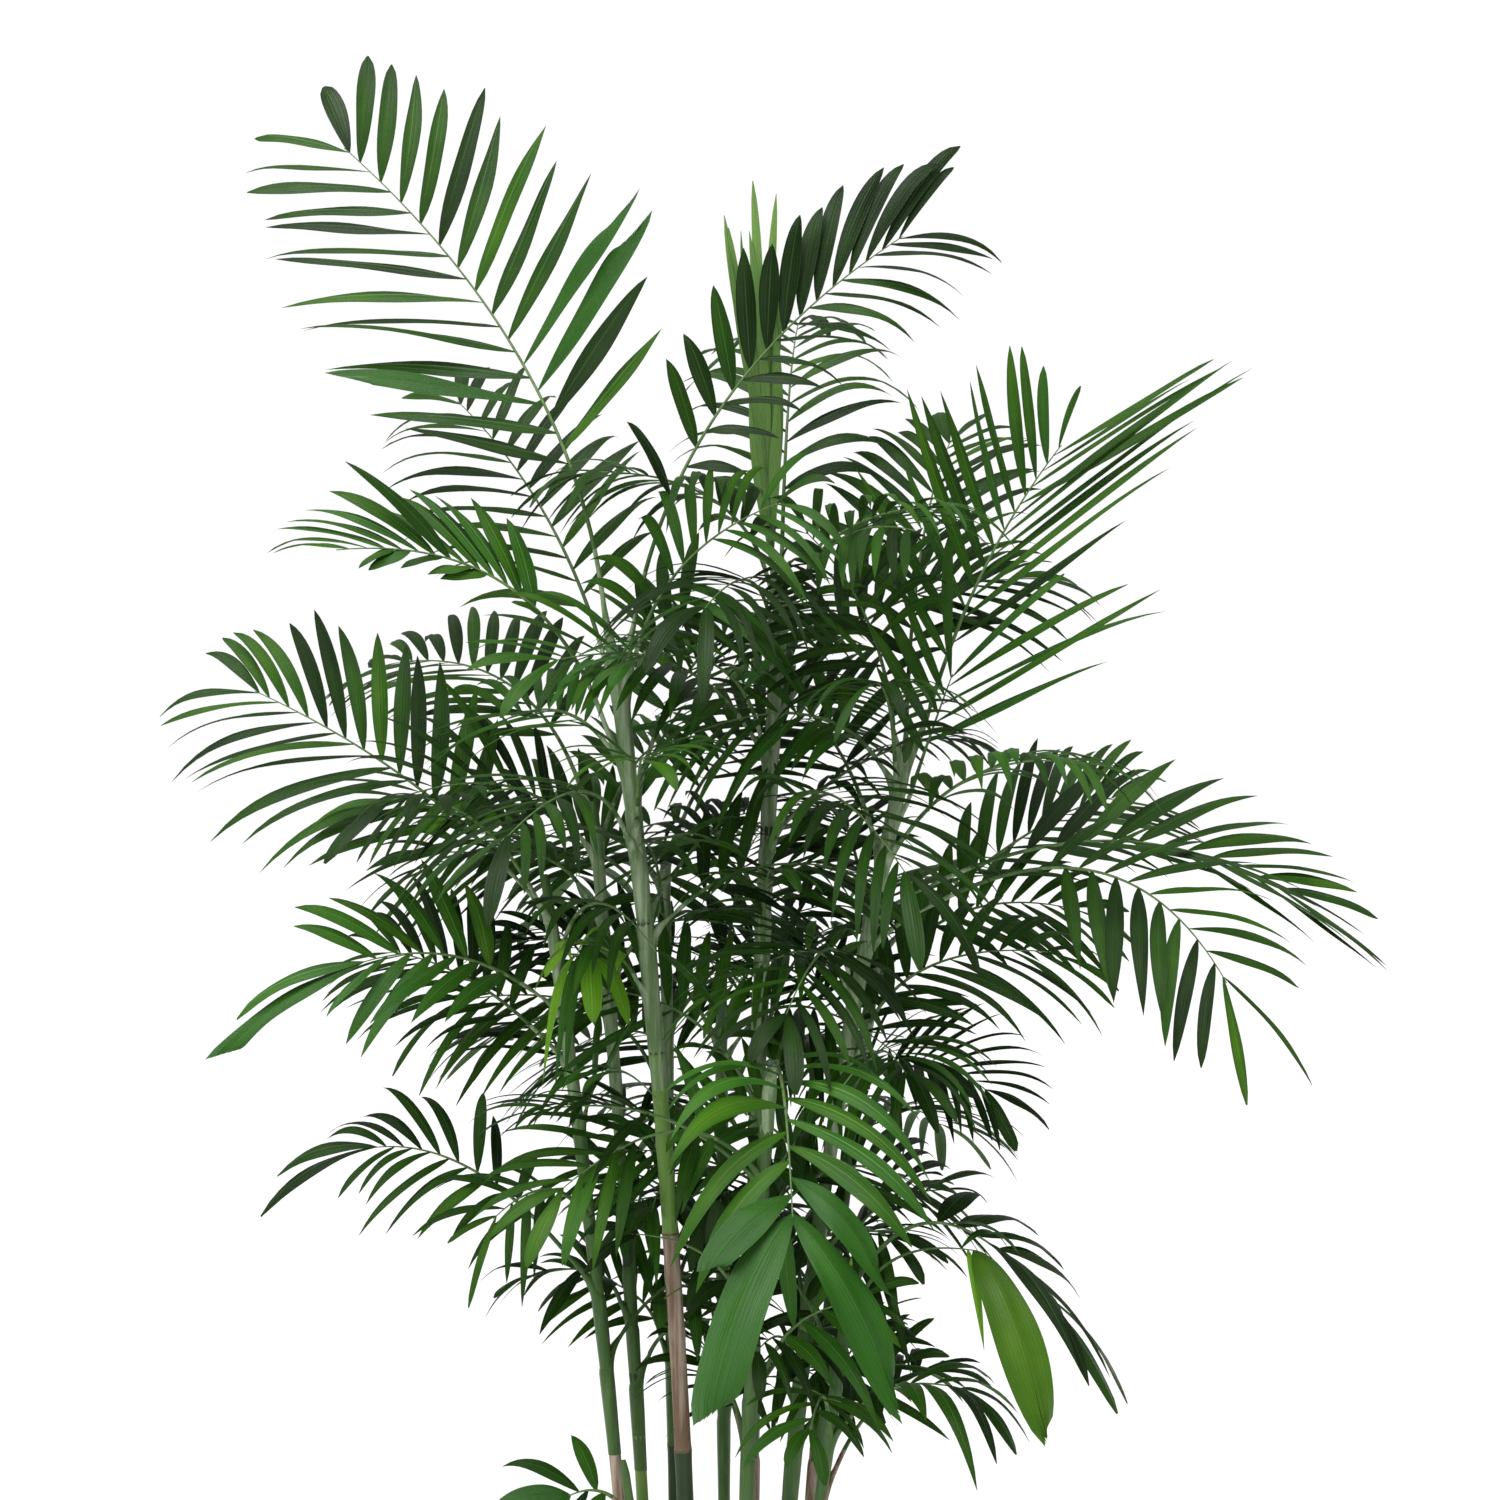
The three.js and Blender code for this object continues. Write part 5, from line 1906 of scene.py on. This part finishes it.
@dataclass
class Bed(Assembly):
    """The potting mix: an uneven bed with bark chips and a few white grains on it.

    Its side widens from the foot to the shoulder and the edge, each given as a share of the radius or a
    distance in from it, and a depth. The top is ring_count rings. lumps are its waves, each with a fineness
    and a shift; they are stretched along y, and die away within rim_width of the edge.
    """

    ring_count: int = 44
    sides: int = 120
    sunk: float = 0.0035
    foot_share: float = 0.8
    shoulder: Pair = (0.97, 0.02)
    edge: Pair = (0.0004, 0.004)
    ring_shares: Pair = (0.995, 0.02)
    relief: float = 0.0032
    evenness: float = 0.6
    rim_width: float = 0.02
    margin: float = 0.0003
    stretch: float = 1.13
    lumps: tuple[Pair, ...] = ((38, 0.4), (83, 1.9), (171, 3.1), (334, 0.8))
    flake_sizes: Pair = (0.5, 1.25)
    flakes: tuple[Flake, ...] = (
        Flake("bark_chips", BARK, (0.0065, 0.004, 0.0014), 2600.0, 3),
        Flake("white_grains", PERLITE, (0.0016, 0.0015, 0.0013), 1500.0, 8))

    def build(self) -> None:
        """Builds and dresses the bed and what lies on it."""
        low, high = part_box("soil")
        radius = (high.x - low.x) / 2
        top = high.z - self.sunk
        width, drop = self.shoulder
        inset, edge_drop = self.edge
        mesh = lathe("potting_mix", [
            (0.0, low.z), (radius * self.foot_share, low.z), (radius * width, high.z - drop),
            (radius - inset, high.z - edge_drop),
            *((radius * share, top) for share in np.linspace(*self.ring_shares, self.ring_count)),
            (0.0, top)], self.sides)
        self.roughen(mesh, top, radius)
        mesh.materials.append(self.palette(SOIL))
        fit(place_object("potting_mix", mesh), "soil", ["soil"])
        scatter = ScatterGrower()
        smallest, largest = self.flake_sizes
        for flake in self.flakes:
            chip = place_object("chip", flake.mesh())
            piece = grow(flake.name, mesh.copy(), scatter.tree, {
                "Chip": chip, "Density": flake.density, "Smallest": smallest, "Largest": largest,
                "Seed": flake.seed, "Material": self.palette(flake.finish)})
            bpy.data.objects.remove(chip)
            fit(piece, "soil")

    def roughen(self, mesh: Mesh, top: float, radius: float) -> None:
        """Raises and lowers the bed's top in soft lumps; its edge stays level.

        Args:
            mesh: The bed.
            top: The height of its top.
            radius: Its radius.
        """
        places = np.empty(len(mesh.vertices) * 3)
        mesh.vertices.foreach_get("co", places)
        places = places.reshape(-1, 3)
        x, y = places[:, 0], places[:, 1]
        lumps = sum(np.sin(x * size + shift) * np.cos(y * size * self.stretch - shift) / (order + 1)
                    for order, (size, shift) in enumerate(self.lumps))
        inside = np.clip((radius - np.hypot(x, y)) / self.rim_width, 0, 1)
        is_top = places[:, 2] > top - self.margin
        places[:, 2] += np.where(is_top, lumps * inside * self.relief * self.evenness, 0)
        mesh.vertices.foreach_set("co", places.ravel())
        mesh.update()


@dataclass
class Palm(Assembly):
    """The living plant: canes, sheaths with petioles and ribs, and leaflets.

    sheath_overlap is how far a sheath starts inside the next lower one. The clearing is the space before
    the front cane: its lowest and highest point, its middle and half depth, and its width as a share of the
    cane's.
    """

    cane_sides: int = 20
    rib_sides: int = 8
    sheath_length: float = 0.11
    sheath_overlap: float = 0.03
    clearing_heights: Pair = (0.30, 1.27)
    clearing_depth: Pair = (0.26, 0.24)
    clearing_width: float = 0.9
    clearing_ends: int = 12
    canes: dict[str, Cane] = field(default_factory=dict)
    fronds: list[Frond] = field(default_factory=list)
    claimed: Thicket = field(default_factory=Thicket)

    def __post_init__(self) -> None:
        """Sets up canes and fronds in the order in which they claim space."""
        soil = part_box("soil")[1].z
        for number, (name, plan) in enumerate(CANES.items()):
            cane = self.canes[name] = Cane(name, plan, number, soil)
            self.fronds += [Frond(cane, given, i) for i, given in enumerate(FRONDS[name])]
        for cane in self.canes.values():
            self.claimed.add(cane.boxes(), NOBODY)
        for frond in self.fronds:
            self.claimed.add(frond.rib_boxes(), frond.seed)
        for name, plans in SIDE_FRONDS.items():
            for plan in plans:
                self.claim(self.canes[name], [plan])
        for rule in (HEART, THICKET_AT_FOOT):
            for cane in self.canes.values():
                for turns in rule.plans(cane):
                    self.claim(cane, turns)

    def claim(self, cane: Cane, plans: Sequence[FrondPlan]) -> None:
        """Adds the first of several fronds whose rib is clear of canes and other ribs, if any is.

        Args:
            cane: Their cane.
            plans: Their sizes, the best first.
        """
        index = len(self.of_cane(cane.name))
        for frond in (Frond(cane, plan, index) for plan in plans):
            boxes = frond.rib_boxes()
            if not any(self.claimed.touches(box, frond.seed) for box in boxes[1:]):
                self.claimed.add(boxes, frond.seed)
                self.fronds.append(frond)
                return

    def build(self) -> None:
        """Builds the canes, then one piece of petioles and ribs for each cane, then the leaflets."""
        canes = TubeGrower(self.palette, SCAR)
        for name, cane in self.canes.items():
            fit(canes.run(f"ringed_cane_{name}", [cane.path()], self.cane_sides), "cane", [f"cane_{name}"])
        ribs = TubeGrower(self.palette, STEM_FINISHES[StemTone.PETIOLE])
        for name in self.canes:
            own = self.of_cane(name)
            paths = [frond.path(self.sheath(frond, own)) for frond in own]
            fit(ribs.run(f"petioles_{name}", paths, self.rib_sides), "cane")
        self.build_leaflets()

    def clearing(self) -> list[Box]:
        """Keeps free the space before the front cane, which shows down to the soil.

        Returns:
            The boxes that fill it.
        """
        cane, forward = self.canes["front"], np.array((0.0, -1.0, 0.0))
        heights = np.linspace(*self.clearing_heights, self.clearing_ends)
        middle, half = self.clearing_depth
        return [stretch_box(cane.at(low) + forward * middle, cane.at(high) + forward * middle,
                            forward, cane.radius(low) * self.clearing_width, half)
                for low, high in zip(heights, heights[1:])]

    def of_cane(self, name: str) -> list[Frond]:
        """Returns the fronds of one cane."""
        return [frond for frond in self.fronds if frond.cane.name == name]

    def sheath(self, frond: Frond, own: Sequence[Frond]) -> float:
        """Returns a sheath's length: it starts inside the next lower sheath, if that is near."""
        gaps = [frond.plan.height - other.plan.height for other in own]
        return min([self.sheath_length, *(gap + self.sheath_overlap for gap in gaps if gap > 0)])

    def build_leaflets(self) -> None:
        """Builds the leaflets, one piece for each cane, with young and broad ones apart."""
        self.claimed.add(self.clearing(), NOBODY)
        grown = {frond.name: frond.leaflets(self.claimed) for frond in self.fronds}
        log.info("fronds: %d, leaflets: %d", len(grown), sum(map(len, grown.values())))
        grower = BladeGrower(self.palette)
        for name in self.canes:
            for kind, slot, is_young in (("leaflets", "leaf", False), ("young_leaflets", "young_leaf", True)):
                fronds = [frond for frond in self.of_cane(name)
                          if (frond.plan.tone is LeafTone.SPEAR) == is_young]
                nodes = [frond.name for frond in fronds if frond.is_packed]
                for start, blade, is_broad in (("", NARROW, False), ("broad_", BROAD, True)):
                    leaflets = [leaflet for frond in fronds for leaflet in grown[frond.name]
                                if (leaflet.width > GROWTH.broad_from) == is_broad]
                    if leaflets:
                        fit(grower.run(f"{start}{kind}_{name}", leaflets, blade), slot, nodes)


@dataclass
class Studio(Assembly):
    """A plain pale floor, soft lights and the camera; lamps have a power, and turns are in degrees."""

    eye: Triple = (0.0385, -2.6, 1.287)
    lens: float = 56.73
    sensor: float = 36.0
    sight: float = 100.0
    floor_side: float = 60.0
    sun_spread: float = 50.0
    sun_strength: float = 2.75
    sun_turn: Triple = (16.0, -12.0, 0.0)
    key_place: Triple = (-1.9, -2.6, 2.6)
    key_aim: Triple = (0.05, 0.0, 1.15)
    key_side: float = 1.6
    key_power: float = 27.0
    seen_white: float = 1.02
    room_light: float = 0.32

    def build(self) -> None:
        """Sets up floor, lights and camera."""
        half = self.floor_side / 2
        corners = [(-half, -half, 0), (half, -half, 0), (half, half, 0), (-half, half, 0)]
        floor = place_object("floor", new_mesh("floor", np.array(corners), [(0, 1, 2, 3)]))
        floor.data.materials.append(self.palette(FLOOR))
        floor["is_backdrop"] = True
        sun = self.light("ceiling", "SUN", self.sun_strength, angle=math.radians(self.sun_spread))
        sun.rotation_euler = Euler([math.radians(turn) for turn in self.sun_turn])
        key = self.light("key", "AREA", self.key_power, shape="RECTANGLE", size=self.key_side,
                         size_y=self.key_side)
        key.location = self.key_place
        aim = Vector(self.key_aim) - Vector(self.key_place)
        key.rotation_euler = aim.to_track_quat("-Z", "Y").to_euler()
        self.surround()
        camera = bpy.data.cameras.new("camera")
        camera.lens, camera.sensor_width, camera.clip_end = self.lens, self.sensor, self.sight
        made = place_object("camera", camera)
        made.location = self.eye
        made.rotation_euler = Euler((math.radians(90), 0.0, 0.0))
        bpy.context.scene.camera = made
        bpy.context.scene.view_settings.view_transform = "Standard"

    def surround(self) -> None:
        """Makes the surroundings white to look at and dimmer as a light, as in a room."""
        world = bpy.data.worlds.new("white surround")
        world.use_nodes = True
        bench = Bench(world.node_tree)
        ground = world.node_tree.nodes["Background"]
        ground.inputs["Color"].default_value = (1.0, 1.0, 1.0, 1.0)
        seen = bench.wire("ShaderNodeLightPath", output="Is Camera Ray")
        feed(ground.inputs["Strength"], seen * (self.seen_white - self.room_light) + self.room_light)
        bpy.context.scene.world = world

    @staticmethod
    def light(name: str, kind: str, power: float, **settings: object) -> Object:
        """Adds a lamp at the origin, pointing down.

        Args:
            name: Its name.
            kind: SUN or AREA.
            power: Its power.
            settings: Its own properties, such as its size.

        Returns:
            The lamp.
        """
        lamp = bpy.data.lights.new(name, kind)
        lamp.energy = power
        for label, value in settings.items():
            setattr(lamp, label, value)
        return place_object(name, lamp)


def write_sizes() -> None:
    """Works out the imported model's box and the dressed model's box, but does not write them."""
    boxes = {"cad": CAD_BOX, "visual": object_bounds()}
    plain = {name: [list(corner) for corner in corners] for name, corners in boxes.items()}


def main() -> None:
    """Builds the plant, its pot and the studio."""
    logging.basicConfig(level=logging.INFO, format="%(name)s: %(message)s")
    palette = Palette()
    for kind in (Pot, Bed, Palm, Studio):
        kind(palette).build()
    write_sizes()


if __name__ == "__main__":
    main()
